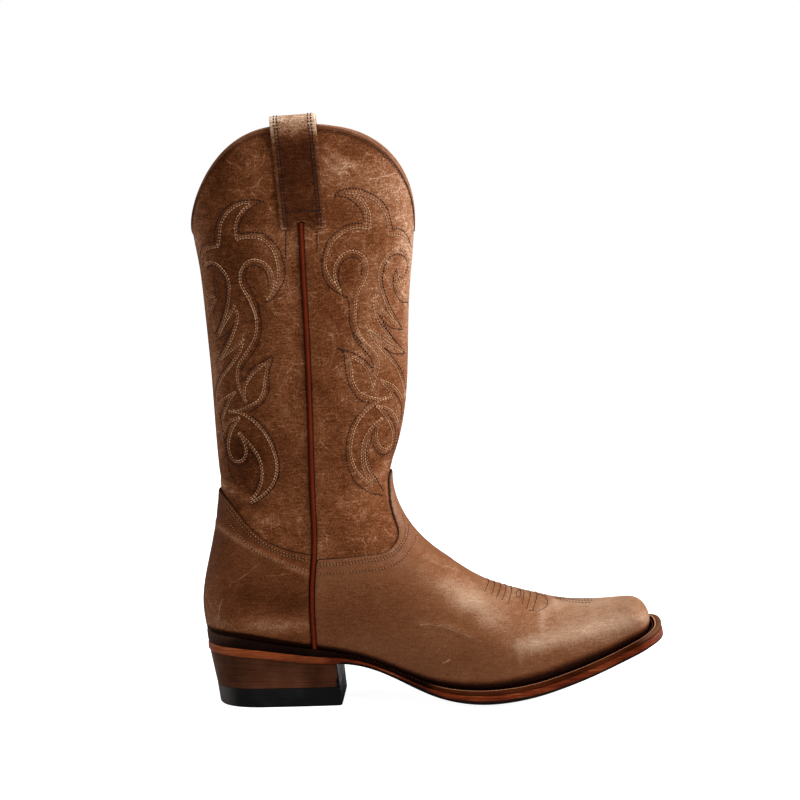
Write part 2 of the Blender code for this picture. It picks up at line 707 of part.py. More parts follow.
def make_heel(finish):
    """The leather heel, from the sole's underside down to the cap."""
    levels = []
    for share in HEEL["level"]:
        plan = heel_level(HEEL, share, 0)
        top = outsole_top(plan[..., 0]) - sole["thick"](plan[..., 0]) - GAP
        plan[..., 2] = top + share * (HEEL_CAP_HEIGHT + GAP - top)
        levels.append(plan)
    return stacked("heel_stack", levels, finish)


def make_heel_cap(finish):
    levels = [heel_level(HEEL_CAP, share, HEEL_CAP_HEIGHT * (1 - share)) for share in HEEL_CAP["level"]]
    bevel = levels[-1].copy()
    middle = bevel[..., :2].mean(axis=(0, 1))
    levels[-1][..., 2] = HEEL_CAP_BEVEL
    reach = np.abs(bevel[..., 1]).max()
    bevel[..., :2] = middle + (bevel[..., :2] - middle) * (1 - HEEL_CAP_BEVEL / reach)
    return stacked("heel_cap", [*levels, bevel], finish)


def stacked(name, levels, finish):
    """A solid through plans of the same grid, one above the other, closed by the first and last."""
    rings = [np.concatenate([p[:, 0], p[-1, 1:-1], p[::-1, -1]]) for p in levels]
    columns = len(rings[0])
    ids = np.arange(len(rings) * columns).reshape(len(rings), columns)
    walls = facets(np.concatenate([ids, ids[:, :1]], axis=1))
    rows, across = levels[0].shape[:2]
    top = len(rings) * columns + np.arange(rows * across).reshape(rows, across)
    ends = [facets(top), facets(top + rows * across)[:, ::-1]]
    points = np.concatenate([*rings, levels[0].reshape(-1, 3), levels[-1].reshape(-1, 3)])
    return solid(name, points, [walls, *ends], finish)


def main():
    for old in list(bpy.data.objects):
        bpy.data.objects.remove(old, do_unlink=True)
    finish = {name: material_of(name, *look) for name, look in FINISHES.items()}
    skin = upper_grid()
    skin_solid("upper", *skin[:2], (0, -WALL), finish["shaft leather"], skin[2])
    make_overlays(*skin, finish["vamp leather"], finish["counter leather"])
    for place, side in (("outer", -1), ("inner", 1)):
        make_piping("piping_" + place, side, finish["piping"])
        make_strap("pull_strap_" + place, side, finish["strap leather"])
    make_binding(*skin[:2], finish["shaft leather"])
    make_outsole(finish["sole leather"])
    make_insole(finish["insole"])
    make_strip("welt", True, finish["welt"])
    make_strip("heel_rand", False, finish["rand"])
    make_heel(finish["heel leather"])
    make_heel_cap(finish["rubber"])


main()
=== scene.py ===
import bpy
import numpy as np
from mathutils import Matrix


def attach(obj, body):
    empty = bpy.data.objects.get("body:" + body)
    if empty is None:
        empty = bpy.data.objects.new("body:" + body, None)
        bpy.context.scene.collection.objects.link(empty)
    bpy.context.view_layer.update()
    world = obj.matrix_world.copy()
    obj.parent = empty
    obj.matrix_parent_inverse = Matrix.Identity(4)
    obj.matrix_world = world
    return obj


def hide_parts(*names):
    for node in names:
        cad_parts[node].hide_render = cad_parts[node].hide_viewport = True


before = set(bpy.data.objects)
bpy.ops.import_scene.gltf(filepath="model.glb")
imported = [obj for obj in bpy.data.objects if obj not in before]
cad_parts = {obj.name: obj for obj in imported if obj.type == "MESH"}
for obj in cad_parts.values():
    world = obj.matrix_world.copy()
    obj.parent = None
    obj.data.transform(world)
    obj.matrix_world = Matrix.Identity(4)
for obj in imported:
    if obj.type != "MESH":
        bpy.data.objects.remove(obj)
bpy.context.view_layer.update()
mm = 0.001
print("frame loaded:", len(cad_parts), "solids")

studio = {
    "cameraPlace": (36.34, -1500.46, 351.2),
    "cameraTurn": 2.0,  # degrees to the left, down and round its own axis
    "cameraPitch": 6.09,
    "cameraRoll": 2.0,
    "lens": 106.37,
    "sensor": 36,
    "clip": (0.01, 50),
    "floorHalf": 6000.0,
    "floorColour": (0.5, 0.5, 0.5),
    "floorRoughness": 0.9,
    "floorGloss": 0.1,
    "floorGlow": 0.96,  # how much the paper shines by itself, and how bright the sky behind it looks
    "skySeen": 1.0,
    "skyColour": (1.0, 1.0, 1.0),
    "skyStrength": 0.14,
    # place, size and power of each soft box, all aimed at the same point
    "aim": (0, 0, 170),
    "boxes": {
        "keyBox": ((1350, -1100, 1150), 900, 34),
        "topBox": ((250, -150, 1900), 1500, 30),
        "rearBox": ((1400, 500, 600), 800, 24),
        "rimBox": ((-1500, 650, 500), 900, 6),
        "fillBox": ((-1300, -1300, 600), 1100, 5),
    },
}


def setSockets(tree, node, links):
    # each socket is given a value or another node's output
    for socket, source in links.items():
        if isinstance(source, bpy.types.NodeSocket):
            tree.links.new(source, node.inputs[socket])
        else:
            node.inputs[socket].default_value = source


def addNode(tree, kind, links=None, **settings):
    node = tree.nodes.new(kind)
    for key, value in settings.items():
        setattr(node, key, value)
    setSockets(tree, node, links or {})
    return node


def calc(tree, operation, *values, clamp=False):
    # one step of arithmetic on outputs of nodes and numbers
    links = dict(enumerate(values))
    return addNode(tree, "ShaderNodeMath", links, operation=operation, use_clamp=clamp).outputs[0]


def newFinish(name):
    material = bpy.data.materials.new(name)
    material.use_nodes = True
    return material, material.node_tree, material.node_tree.nodes["Principled BSDF"]


def addObject(name, data):
    made = bpy.data.objects.new(name, data)
    bpy.context.scene.collection.objects.link(made)
    return made


def standing(place, right, up, back):
    # where a camera or a lamp stands, and how its own axes lie
    stand = np.eye(4)
    stand[:3] = np.stack([right, up, back, np.array(place) * mm], -1)
    return Matrix(stand.tolist())


def placeCamera():
    turn, pitch, roll = np.radians([studio["cameraTurn"], studio["cameraPitch"], studio["cameraRoll"]])
    ahead = np.array([-np.sin(turn) * np.cos(pitch), np.cos(turn) * np.cos(pitch), -np.sin(pitch)])
    right = np.cross(ahead, (0, 0, 1))
    right /= np.linalg.norm(right)
    up = np.cross(right, ahead)
    rolledRight = np.cos(roll) * right - np.sin(roll) * up
    rolledUp = np.sin(roll) * right + np.cos(roll) * up
    view = bpy.data.cameras.new("studioCamera")
    view.lens = studio["lens"]
    view.sensor_width = studio["sensor"]
    view.clip_start, view.clip_end = studio["clip"]
    camera = addObject("studioCamera", view)
    camera.matrix_world = standing(studio["cameraPlace"], rolledRight, rolledUp, -ahead)
    bpy.context.scene.camera = camera


def aimedAt(place, aim):
    # a frame whose -Z looks from a place to a point
    back = np.subtract(place, aim)
    back = back / np.linalg.norm(back)
    right = np.cross((0, 0, 1), back)
    right /= np.linalg.norm(right)
    return standing(place, right, np.cross(back, right), back)


def seenByCamera(tree):
    return addNode(tree, "ShaderNodeLightPath").outputs["Is Camera Ray"]


def layFloor():
    half = studio["floorHalf"] * mm
    corners = [(-half, -half, 0), (half, -half, 0), (half, half, 0), (-half, half, 0)]
    mesh = bpy.data.meshes.new("studioFloor")
    mesh.from_pydata(corners, [], [(0, 1, 2, 3)])
    paper, tree, shader = newFinish("paleFloor")
    glow = calc(tree, "MULTIPLY", seenByCamera(tree), studio["floorGlow"])
    setSockets(tree, shader, {"Base Color": (*studio["floorColour"], 1), "Roughness": studio["floorRoughness"],
                              "Specular IOR Level": studio["floorGloss"], "Emission Color": (1, 1, 1, 1),
                              "Emission Strength": glow})
    mesh.materials.append(paper)
    floor = addObject("studioFloor", mesh)


def lightStudio():
    world = bpy.data.worlds.new("studioSky")
    world.use_nodes = True
    tree = world.node_tree
    extra = studio["skySeen"] - studio["skyStrength"]
    strength = calc(tree, "MULTIPLY_ADD", seenByCamera(tree), extra, studio["skyStrength"])
    setSockets(tree, tree.nodes["Background"], {"Color": (*studio["skyColour"], 1), "Strength": strength})
    bpy.context.scene.world = world
    for name, (place, size, power) in studio["boxes"].items():
        lamp = bpy.data.lights.new(name, "AREA")
        lamp.shape = "SQUARE"
        lamp.size = size * mm
        lamp.energy = power
        addObject(name, lamp).matrix_world = aimedAt(place, studio["aim"])
    layFloor()
    bpy.context.scene.view_settings.view_transform = "Standard"


placeCamera()
lightStudio()
print("camera and light placed")

# the form that every leather piece lies on
last = {
    # side view: front from the toe over the instep to the collar, back from the heel seat up, welt line heel to toe
    "front": ((136.5, 41.8), (135.9, 48.2), (133.0, 53.4), (128.5, 55.9), (121.5, 56.5), (105.0, 56.0), (85.0, 56.7),
              (66.0, 60.5), (48.0, 65.7), (28.0, 74.2), (8.0, 88.5), (-9.0, 103.6), (-19.6, 119.3),
              (-24.6, 134.0), (-25.0, 147.5), (-21.3, 159.5), (-16.1, 178.3), (-12.8, 200.6), (-11.0, 230.0),
              (-8.7, 264.3), (-6.0, 288.0), (-4.6, 305.0), (-3.2, 340.0), (-2.6, 380.0)),
    "back": ((-144.8, 44.6), (-147.1, 65.3), (-144.3, 84.9), (-139.6, 104.3), (-135.9, 123.7), (-134.3, 137.0),
             (-134.8, 152.0), (-135.9, 174.0), (-137.2, 212.0), (-140.0, 259.1), (-142.0, 282.0),
             (-145.2, 303.0), (-147.2, 330.0), (-148.0, 380.0)),
    "feather": ((-144.8, 44.6), (-128.0, 43.8), (-110.0, 42.2), (-85.0, 38.9), (-66.0, 36.0), (-47.6, 31.6),
                (-22.4, 22.4), (-3.6, 15.6), (15.0, 12.4), (28.0, 11.7), (46.6, 12.4), (66.0, 15.2),
                (91.0, 22.2), (117.0, 32.2), (136.5, 41.8)),
    # sections of the fan: station, half-width outside and inside, how far each draws in at the welt,
    # how deep the ridge is rounded, how far the ridge leans in
    "sections": ((-234, 43.0, 43.0, 0.0, 0.0, 73.5, 0.0), (-157, 43.5, 43.5, 0.0, 0.0, 71.0, 0.0),
                 (-104, 43.0, 43.0, 0.0, 0.0, 65.5, 0.0), (-54, 41.0, 41.0, 0.0, 0.0, 62.0, 0.0),
                 (-24, 38.5, 38.5, 0.0, 0.0, 58.5, 0.0), (0, 36.0, 36.0, 0.0, 0.0, 54.5, 0.0),
                 (15, 34.0, 34.0, 0.0, 0.0, 50.0, 0.0), (26, 32.4, 32.4, 4.0, 4.0, 44.0, 0.0),
                 (37, 32.8, 32.5, 4.2, 5.5, 38.0, 1.0), (45, 35.0, 35.0, 6.5, 11.0, 35.0, 2.5),
                 (52, 37.2, 36.8, 5.6, 11.5, 33.0, 3.2), (60, 39.8, 39.8, 4.0, 8.0, 32.0, 4.0),
                 (67, 42.2, 42.8, 2.2, 4.2, 31.0, 4.4), (74, 43.7, 45.2, 1.7, 2.2, 31.0, 4.8),
                 (82, 42.2, 46.6, 1.7, 2.0, 30.0, 5.0), (90, 38.8, 45.0, 1.6, 1.8, 28.0, 5.0),
                 (112, 33.4, 39.8, 1.3, 1.5, 22.0, 4.6), (134, 28.6, 35.0, 1.0, 1.2, 15.0, 4.0),
                 (147, 26.4, 32.8, 0.8, 1.0, 9.0, 3.6), (158.5, 25.0, 31.4, 0.8, 1.0, 6.0, 3.2)),
    # height, and how far ahead of the back the form reaches its full width
    "heelRound": ((40, 31.0), (95, 33.0), (120, 42.0), (146, 54.5), (200, 62.0), (300, 71.0), (380, 73.5)),
    "pivot": (68.0, 146.0),
    "ridgePower": 2.05,
    "heelPower": 2.2,
    "toePower": 2.5,
    "toeReach": 10.0,
    "tuckFrom": 0.5,
    "softening": 4.0,  # steps of the mean that rounds off the joins of the fan, and their weights
    "softWeights": (1, 2, 3, 2, 1),
    # stations where that mean starts, how soon it is full, where it ends and how soon it fades
    "softAnkle": (-45, 25, 20, 10),
    "softBall": (68, 12, 128, 20),
    "leastDepth": 20.0,  # of an arc of the fan, to turn its degrees into a length
    "openStation": 45.0,  # from here on a section's points crowd to the ridge alone
    "toeLift": 0.38,  # slope of the welt ahead of the upper
    "middle": (-1.544, 1.364, 0.0),  # of the boot's box, which is the origin
}
pivotX, pivotZ = last["pivot"]
toeTip = last["front"][0][0]
dense = np.linspace(0, 1, 1601)


def spline(knots, values):
    # natural cubic through the knots, held at both ends
    knots, values = np.asarray(knots, float), np.asarray(values, float)
    step = np.diff(knots)
    system = np.eye(len(knots))
    inner = np.arange(1, len(knots) - 1)
    system[inner, inner - 1] = step[:-1]
    system[inner, inner] = 2 * (step[:-1] + step[1:])
    system[inner, inner + 1] = step[1:]
    right = np.zeros(len(knots))
    right[1:-1] = 6 * np.diff(np.diff(values) / step)
    bend = np.linalg.solve(system, right)

    def at(x):
        x = np.clip(x, knots[0], knots[-1])
        i = np.clip(np.searchsorted(knots, x) - 1, 0, len(step) - 1)
        a = (knots[i + 1] - x) / step[i]
        b = 1 - a
        cubic = (a**3 - a) * bend[i] + (b**3 - b) * bend[i + 1]
        return a * values[i] + b * values[i + 1] + cubic * step[i] ** 2 / 6

    return at


def curveOf(rows):
    # points as a smooth curve of their share of length
    rows = np.asarray(rows, float)
    lengths = np.concatenate([[0], np.cumsum(np.linalg.norm(np.diff(rows, axis=0), axis=1))])
    parts = [spline(lengths / lengths[-1], column) for column in rows.T]
    return lambda share: np.stack([part(share) for part in parts], -1)


def columnOf(rows, index, by=0):
    rows = np.asarray(rows, float)
    return spline(rows[:, by], rows[:, index])


def stationDepth(x, z):
    # section of the fan that a point of the side view is on, and how far from the pivot's corner
    back, down = np.maximum(pivotX - x, 0), np.maximum(pivotZ - z, 0)
    turn = np.degrees(np.arctan2(down, back))
    return turn + np.maximum(x - pivotX, 0) - np.maximum(z - pivotZ, 0), np.hypot(back, down)


def sidePoint(station, depth):
    turn = np.radians(np.clip(station, 0, 90))
    x = pivotX - depth * np.cos(turn) + np.maximum(station - 90, 0)
    return x, pivotZ - depth * np.sin(turn) - np.minimum(station, 0)


def depthOf(points):
    station, depth = stationDepth(points[:, 0], points[:, 1])
    order = np.argsort(station, kind="stable")
    return lambda at: np.interp(at, station[order], depth[order])


def smooth(share):
    # 0 to 1 with level ends
    share = np.clip(share, 0, 1)
    return share * share * (3 - 2 * share)


def between(value, start, rise, end, fall):
    # 1 along a stretch, with a soft start and end
    return smooth((value - start) / rise) * smooth((end - value) / fall)


def rounded(share, power):
    # a quarter round: nothing at 0, all at 1
    return (1 - (1 - np.clip(share, 0, 1)) ** power) ** (1 / power)


def unit(vectors):
    return vectors / np.maximum(np.linalg.norm(vectors, axis=-1, keepdims=True), 1e-9)


featherZ = columnOf(last["feather"], 1)
backX = columnOf(last["back"], 0, by=1)
heelReach = columnOf(last["heelRound"], 1)
sectionNames = ("outer", "inner", "outerTuck", "innerTuck", "reach", "ridge")
section = {name: columnOf(last["sections"], i + 1) for i, name in enumerate(sectionNames)}
frontDepth = depthOf(curveOf(last["front"])(dense))
farDepth = depthOf(np.concatenate([curveOf(last["back"])(dense), curveOf(last["feather"])(dense)]))


def skinRaw(x, z, side):
    # across = ridge (1 - fill) + side * half-width * fill; fill rounds the ridge, the heel and the toe
    station, depth = stationDepth(x, z)
    inwards = depth - frontDepth(station)
    share = inwards / np.maximum(farDepth(station) - frontDepth(station), 1e-6)
    draw = np.clip((share - last["tuckFrom"]) / (1 - last["tuckFrom"]), 0, 1) ** 2
    outer = section["outer"](station) - section["outerTuck"](station) * draw
    inner = section["inner"](station) - section["innerTuck"](station) * draw
    fill = rounded(inwards / section["reach"](station), last["ridgePower"])
    fill = fill * rounded((x - backX(z)) / heelReach(z), last["heelPower"])
    fill = fill * rounded((toeTip - x) / last["toeReach"], last["toePower"])
    return section["ridge"](station) * (1 - fill) + side * np.where(np.asarray(side) < 0, outer, inner) * fill


def skinY(x, z, side):
    # mean of the form over a few millimetres along it, at the same share of depth, where the fan's parts join
    station, depth = stationDepth(x, z)
    near, far = frontDepth(station), farDepth(station)
    share = (depth - near) / np.maximum(far - near, 1e-6)
    ankle, ball = (between(station, *last[stretch]) for stretch in ("softAnkle", "softBall"))
    perDegree = np.radians(np.maximum(depth, last["leastDepth"]))
    along = np.where(station < 0, station, np.minimum(station, 90) * perDegree + np.maximum(station - 90, 0))
    weights = np.array(last["softWeights"]) / sum(last["softWeights"])
    mean = 0
    for step, weight in enumerate(weights, -(len(weights) // 2)):
        moved = along + step * last["softening"] * (ankle + ball)
        turned = np.minimum(moved / perDegree, 90) + np.maximum(moved - 90 * perDegree, 0)
        moved = np.where(moved < 0, moved, turned)
        near, far = frontDepth(moved), farDepth(moved)
        mean = mean + weight * skinRaw(*sidePoint(moved, near + share * (far - near)), side)
    return mean


def onSkin(x, z, side):
    # points of the skin at places of the side view
    return np.stack([x, skinY(x, z, side), z], -1)


def sideNormal(x, z, side, step=0.5):
    # outward normal of the skin at a point of the side view, away from its centre lines
    slopeX = (skinY(x + step, z, side) - skinY(x - step, z, side)) / (2 * step)
    slopeZ = (skinY(x, z + step, side) - skinY(x, z - step, side)) / (2 * step)
    side = np.broadcast_to(side, slopeX.shape)
    return unit(np.stack([-slopeX, np.ones_like(slopeX), -slopeZ], -1) * side[..., None])


collar = {
    "peak": 366.6,
    "dipFront": 299.3,
    "dipBack": 303.0,
    "peakShare": 0.473,  # of the ring, front to back
    "frontFall": (2.3, 0.435),
    "backFall": (2.85, 0.8),
    "bindingThick": 0.35,
    "bindingLeg": 1.2,
    "bindingPoints": 11,  # of its round top, how high that is and how full
    "bindingRise": 0.72,
    "bindingPower": 0.8,
    "bindingToneAndHighlight": (0.5, 0.2),  # of its leather, and how much lighter on top, a painted highlight
    "ringPoints": 181,
    "fanRows": 1,
    "weltRows": 4,
}


def collarHeight(share):
    # the scallop: (1 - fall^a)^b from its peak to each dip
    top = collar["peakShare"]
    ahead, behind = np.clip((top - share) / top, 0, 1), np.clip((share - top) / (1 - top), 0, 1)
    front = (1 - ahead ** collar["frontFall"][0]) ** collar["frontFall"][1]
    back = (1 - behind ** collar["backFall"][0]) ** collar["backFall"][1]
    dip = np.where(share < top, collar["dipFront"], collar["dipBack"])
    return dip + (collar["peak"] - dip) * front * back


seam = {
    "x": -74.0,
    "skew": -0.064,
    "shaftHalf": 43.0,
    # height and how far the seam bends from its straight line
    "sway": ((36, -1.2), (53, -1.7), (69, -1.8), (84, -0.8), (100, 0.9), (134, 1.2), (178, 1.6), (210, 1.7),
             (238, 1.6), (272, 1.0), (305, 0.7), (380, 0.7)),
}
gap = 0.3  # between pieces that meet
wall = 2.2  # upper leather with its lining


def skew(y):
    # how far a line of the side view moves along, from the outer side to a place across
    return seam["skew"] * (y + seam["shaftHalf"])


seamSway = columnOf(seam["sway"], 1)


def weltRows(count):
    # places along the welt, close together at heel and toe
    first = last["back"][0][0]
    return 0.5 * (first + toeTip) - 0.5 * (toeTip - first) * np.cos(np.pi * np.linspace(0, 1, count))


def skinGrid(levels, fanRows, weltX, ringPoints):
    # rows from the collar down the leg, round the fan and along the welt; columns from the outer back or welt,
    # over the front, to the inner side. Returns points, outward normals and which rows close at the back
    turn = np.linspace(0, 1, ringPoints)
    bothEnds, oneEnd = 0.5 - 0.5 * np.cos(np.pi * turn), 1 - np.cos(0.5 * np.pi * turn)
    legZ = pivotZ + np.reshape(levels, (-1, 1)) * (collarHeight(bothEnds) - pivotZ)
    near, far = (pivotX - depth(pivotZ - legZ) for depth in (frontDepth, farDepth))
    legX = near + bothEnds * (far - near)
    foot = stationDepth(weltX, featherZ(weltX))[0]
    station = np.concatenate([np.linspace(0, foot[0], fanRows, endpoint=False), foot])[:, None]
    closed = np.clip((last["openStation"] - station) / (last["openStation"] - foot[0]), 0, 1)
    share = closed * bothEnds + (1 - closed) * oneEnd
    near, far = frontDepth(station), farDepth(station)
    footX, footZ = sidePoint(station + 0 * share, near + share * (far - near))
    x, z = (np.concatenate(pair)[:, ::-1] for pair in ((legX, footX), (legZ, footZ)))
    shut = np.arange(len(x)) <= len(x) - len(weltX)
    sides = [onSkin(x, z, side) for side in (-1, 1)]
    sides[0][:, -1, 1] = section["ridge"](stationDepth(x, z)[0])[:, -1]
    points = np.concatenate([sides[0], sides[1][:, -2::-1]], axis=1)
    points[np.ix_(shut, (0, -1), (1,))] = 0
    normals = gridNormals(points)
    normals[shut, 0] = normals[shut, -1] = unit(normals[shut, 0] + normals[shut, -1])
    normals[-1] = (1, 0, last["toeLift"])
    slope = np.gradient(featherZ(weltX), weltX)
    for end in (0, -1):
        normals[-len(weltX):, end, 2] = slope * normals[-len(weltX):, end, 0]
    return points, unit(normals), shut


def belowCollar(drop):
    # level of the leg's rows that lies a drop below the collar's front dip
    return 1 - drop / (collar["dipFront"] - pivotZ)


def collarRings(drop):
    # points and normals round the collar's edge and round the leg at a drop below it
    level = belowCollar(drop)
    levels = (1, level, 2 * level - 1)
    points, normals, shut = skinGrid(levels, collar["fanRows"], weltRows(collar["weltRows"]), collar["ringPoints"])
    return points[:2], normals[:2]


def gridNormals(points):
    normals = unit(np.cross(np.gradient(points, axis=1), np.gradient(points, axis=0)))
    quarter = points.shape[1] // 4
    return normals * (np.sign(-np.nanmean(normals[:, quarter, 1])) or 1.0)


def gridIds(shape, shut=None):
    # point numbers of a grid; rows that close share their end points
    ids = np.arange(shape[0] * shape[1]).reshape(shape[:2])
    if shut is not None:
        ids[shut, -1] = ids[shut, 0]
    return ids


def gridFaces(ids):
    return np.stack([ids[:-1, :-1], ids[:-1, 1:], ids[1:, 1:], ids[1:, :-1]], -1).reshape(-1, 4)


def tidyFaces(faces):
    # four-cornered faces with a repeated corner become triangles
    quads, triangles = [], []
    for face in faces:
        if face.shape[1] == 3:
            triangles.append(face)
            continue
        same = face == np.roll(face, -1, axis=1)
        quads.append(face[~same.any(axis=1)])
        for corner in range(4):
            keep = same[:, corner] & (same.sum(axis=1) == 1)
            triangles.append(np.delete(face[keep], corner, axis=1))
    return [np.concatenate(group) for group in (quads, triangles) if len(group) and sum(map(len, group))]


def walled(outer, inner, faces):
    # two skins of the same faces, joined round their open edges
    count = len(outer)
    faces = tidyFaces(faces)
    ends = np.concatenate([np.stack([face, np.roll(face, -1, axis=1)], -1).reshape(-1, 2) for face in faces])
    rim = ends[~np.isin(ends[:, 0] * count + ends[:, 1], ends[:, 1] * count + ends[:, 0])]
    walls = np.stack([rim[:, 1], rim[:, 0], rim[:, 0] + count, rim[:, 1] + count], -1)
    return np.concatenate([outer, inner]), [*faces, *(face[:, ::-1] + count for face in faces), walls]


def bothSkins(values):
    # values on one skin of a wall, repeated for the other
    return np.tile(values.ravel(), 2)


def tubeFaces(shape, capped=True):
    # faces round a closed profile carried along a path, with its two ends filled
    ids = gridIds(shape)
    faces = [gridFaces(np.concatenate([ids, ids[:, :1]], axis=1))]
    if capped:
        half = shape[1] // 2
        for ring in (ids[0], ids[-1][::-1]):
            strip = np.stack([ring[: half + 1], np.concatenate([ring[:1], ring[: half - 1: -1]])[: half + 1]])
            faces.append(gridFaces(strip))
    return faces


def volumeOf(points, faces):
    # six times the volume inside a closed surface, below 0 where its faces look inwards
    sixfold = 0
    for face in faces:
        for i in range(1, face.shape[1] - 1):
            a, b, c = points[face[:, 0]], points[face[:, i]], points[face[:, i + 1]]
            sixfold += np.einsum("ij,ij->", a, np.cross(b, c))
    return sixfold


def addPiece(name, points, faces, materials, nodes=(), finishOf=None, marks=None, sharp=40):
    # a closed mesh in the row frame, faces outwards; marks are values kept on its points for its material
    points = (np.reshape(points, (-1, 3)) - last["middle"]) * mm
    faces = tidyFaces(faces)
    if volumeOf(points, faces) < 0:
        faces = [face[:, ::-1] for face in faces]
    used, renumbered = np.unique(np.concatenate([face.ravel() for face in faces]), return_inverse=True)
    sizes = np.concatenate([np.full(len(face), face.shape[1]) for face in faces])
    mesh = bpy.data.meshes.new(name)
    mesh.vertices.add(len(used))
    mesh.vertices.foreach_set("co", points[used].astype(np.float32).ravel())
    mesh.loops.add(len(renumbered))
    mesh.loops.foreach_set("vertex_index", renumbered.astype(np.int32).ravel())
    mesh.polygons.add(len(sizes))
    mesh.polygons.foreach_set("loop_start", (np.cumsum(sizes) - sizes).astype(np.int32))
    if finishOf is not None:
        firsts = np.concatenate([face[:, 0] for face in faces])
        mesh.polygons.foreach_set("material_index", finishOf[firsts].astype(np.int32))
    mesh.update(calc_edges=True)
    for label, values in (marks or {}).items():
        layer = mesh.attributes.new(label, "FLOAT", "POINT")
        layer.data.foreach_set("value", np.reshape(values, -1)[used].astype(np.float32))
    mesh.shade_smooth()
    mesh.set_sharp_from_angle(angle=np.radians(sharp))
    for material in materials:
        mesh.materials.append(material)
    piece = addObject(name, mesh)
    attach(piece, "root")
    if nodes:
        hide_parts(*nodes)
    print(name, "made:", sum(len(face) * (face.shape[1] - 2) for face in faces), "triangles")


def newGroup(name, inputs, outputs):
    tree = bpy.data.node_groups.new(name, "ShaderNodeTree")
    for label, start in inputs.items():
        tree.interface.new_socket(label, in_out="INPUT", socket_type="NodeSocketFloat").default_value = start
    for label in outputs:
        tree.interface.new_socket(label, in_out="OUTPUT", socket_type="NodeSocketFloat")
    return tree, tree.nodes.new("NodeGroupInput").outputs, tree.nodes.new("NodeGroupOutput").inputs


def noise(tree, place, scale, detail=2.0, roughness=0.5):
    links = {"Vector": place, "Scale": scale, "Detail": detail, "Roughness": roughness}
    return addNode(tree, "ShaderNodeTexNoise", links).outputs["Fac"]


def cells(tree, place, scale, feature):
    links = {"Vector": place, "Scale": scale}
    return addNode(tree, "ShaderNodeTexVoronoi", links, feature=feature).outputs["Distance"]


def fade(tree, value, start, end):
    # 1 up to the start, 0 from the end on, with level ends
    links = {"Value": value, "From Min": start, "From Max": end, "To Min": 1.0, "To Max": 0.0}
    return addNode(tree, "ShaderNodeMapRange", links, interpolation_type="SMOOTHSTEP").outputs["Result"]


def objectPlace(tree):
    return addNode(tree, "ShaderNodeTexCoord").outputs["Object"]


def scaledPlace(tree, scale):
    return addNode(tree, "ShaderNodeMapping", {"Vector": objectPlace(tree), "Scale": scale}).outputs["Vector"]


def total(tree, *terms):
    # sum of outputs, each with its factor and the level that it swings round
    result = terms[0]
    for value, middle, factor in terms[1:]:
        result = calc(tree, "MULTIPLY_ADD", calc(tree, "SUBTRACT", value, middle), factor, result)
    return result


def bentPlace(tree, scale, detail, reach):
    # the object's own places, moved to and fro by a noise
    place = objectPlace(tree)
    bend = addNode(tree, "ShaderNodeTexNoise", {"Vector": place, "Scale": scale, "Detail": detail}).outputs["Color"]
    return addNode(tree, "ShaderNodeVectorMath", {0: bend, 1: reach, 2: place}, operation="MULTIPLY_ADD").outputs[0]


grain = {
    # noises: scale, detail and roughness
    "broad": (42.0, 3.0, 0.6),
    "small": (230.0, 3.0, 0.65),
    "fine": (1350.0, 1.0, 0.6),
    "drawn": (1.0, 2.0, 0.6),
    "drawnScale": (190.0, 190.0, 950.0),
    "pebble": 900.0,
    # veins along the edges of cells: scale, and where a vein ends
    "wideVeins": (105.0, 0.032),
    "closeVeins": (330.0, 0.1),
    "closeShare": 0.5,
    "veinBend": (110.0, 4.0, (0.009, 0.009, 0.009)),  # scale, detail and how far each way, in metres
    "veinBreaks": (75.0, 3.0),
    "breaksFrom": (0.36, 0.62),
    "broadMottle": 1.7,  # how much of the mottling the broad noise gets, and of the speckle the streaks
    "drawnSpeckle": 0.6,
    # how much each counts for the height and for the roughness
    "heights": {"fine": 0.5, "pebble": -0.8, "small": 0.8, "drawn": 0.5, "cracks": 0.25},
    "shines": {"small": 0.25, "fine": 0.2, "broad": 0.2},
}


def wornLeatherGroup():
    # shade = tone + broad and small mottling + speckle + drawn streaks + light veins;
    # height = pebbled grain with the veins
    inputs = {"Tone": 0.5, "Mottle": 0.3, "Speckle": 0.3, "Cracks": 0.3, "Shine": 0.45}
    tree, given, made = newGroup("wornLeather", inputs, ("Shade", "Height", "Roughness"))
    place = objectPlace(tree)
    broad, small, fine = (noise(tree, place, *grain[name]) for name in ("broad", "small", "fine"))
    drawn = noise(tree, scaledPlace(tree, grain["drawnScale"]), *grain["drawn"])
    moved = bentPlace(tree, *grain["veinBend"])
    broken = calc(tree, "SUBTRACT", 1.0, fade(tree, noise(tree, place, *grain["veinBreaks"]), *grain["breaksFrom"]))
    wide, close = (fade(tree, cells(tree, moved, scale, "DISTANCE_TO_EDGE"), 0.0, end)
                   for scale, end in (grain["wideVeins"], grain["closeVeins"]))
    cracks = calc(tree, "MULTIPLY", calc(tree, "MULTIPLY_ADD", close, grain["closeShare"], wide), broken)
    broadShare = calc(tree, "MULTIPLY", given["Mottle"], grain["broadMottle"])
    drawnShare = calc(tree, "MULTIPLY", given["Speckle"], grain["drawnSpeckle"])
    shade = total(tree, given["Tone"], (broad, 0.5, broadShare), (small, 0.5, given["Mottle"]),
                  (fine, 0.5, given["Speckle"]), (drawn, 0.5, drawnShare), (cracks, 0.0, given["Cracks"]))
    tree.links.new(shade, made["Shade"])
    pebble = cells(tree, place, grain["pebble"], "F1")
    high, shine = grain["heights"], grain["shines"]
    height = total(tree, calc(tree, "MULTIPLY", fine, high["fine"]), (pebble, 0.0, high["pebble"]),
                   (small, 0.5, high["small"]), (drawn, 0.5, high["drawn"]), (cracks, 0.0, high["cracks"]))
    tree.links.new(height, made["Height"])
    roughness = total(tree, given["Shine"], (small, 0.5, shine["small"]), (fine, 0.5, shine["fine"]),
                      (broad, 0.5, shine["broad"]))
    tree.links.new(roughness, made["Roughness"])
    return tree


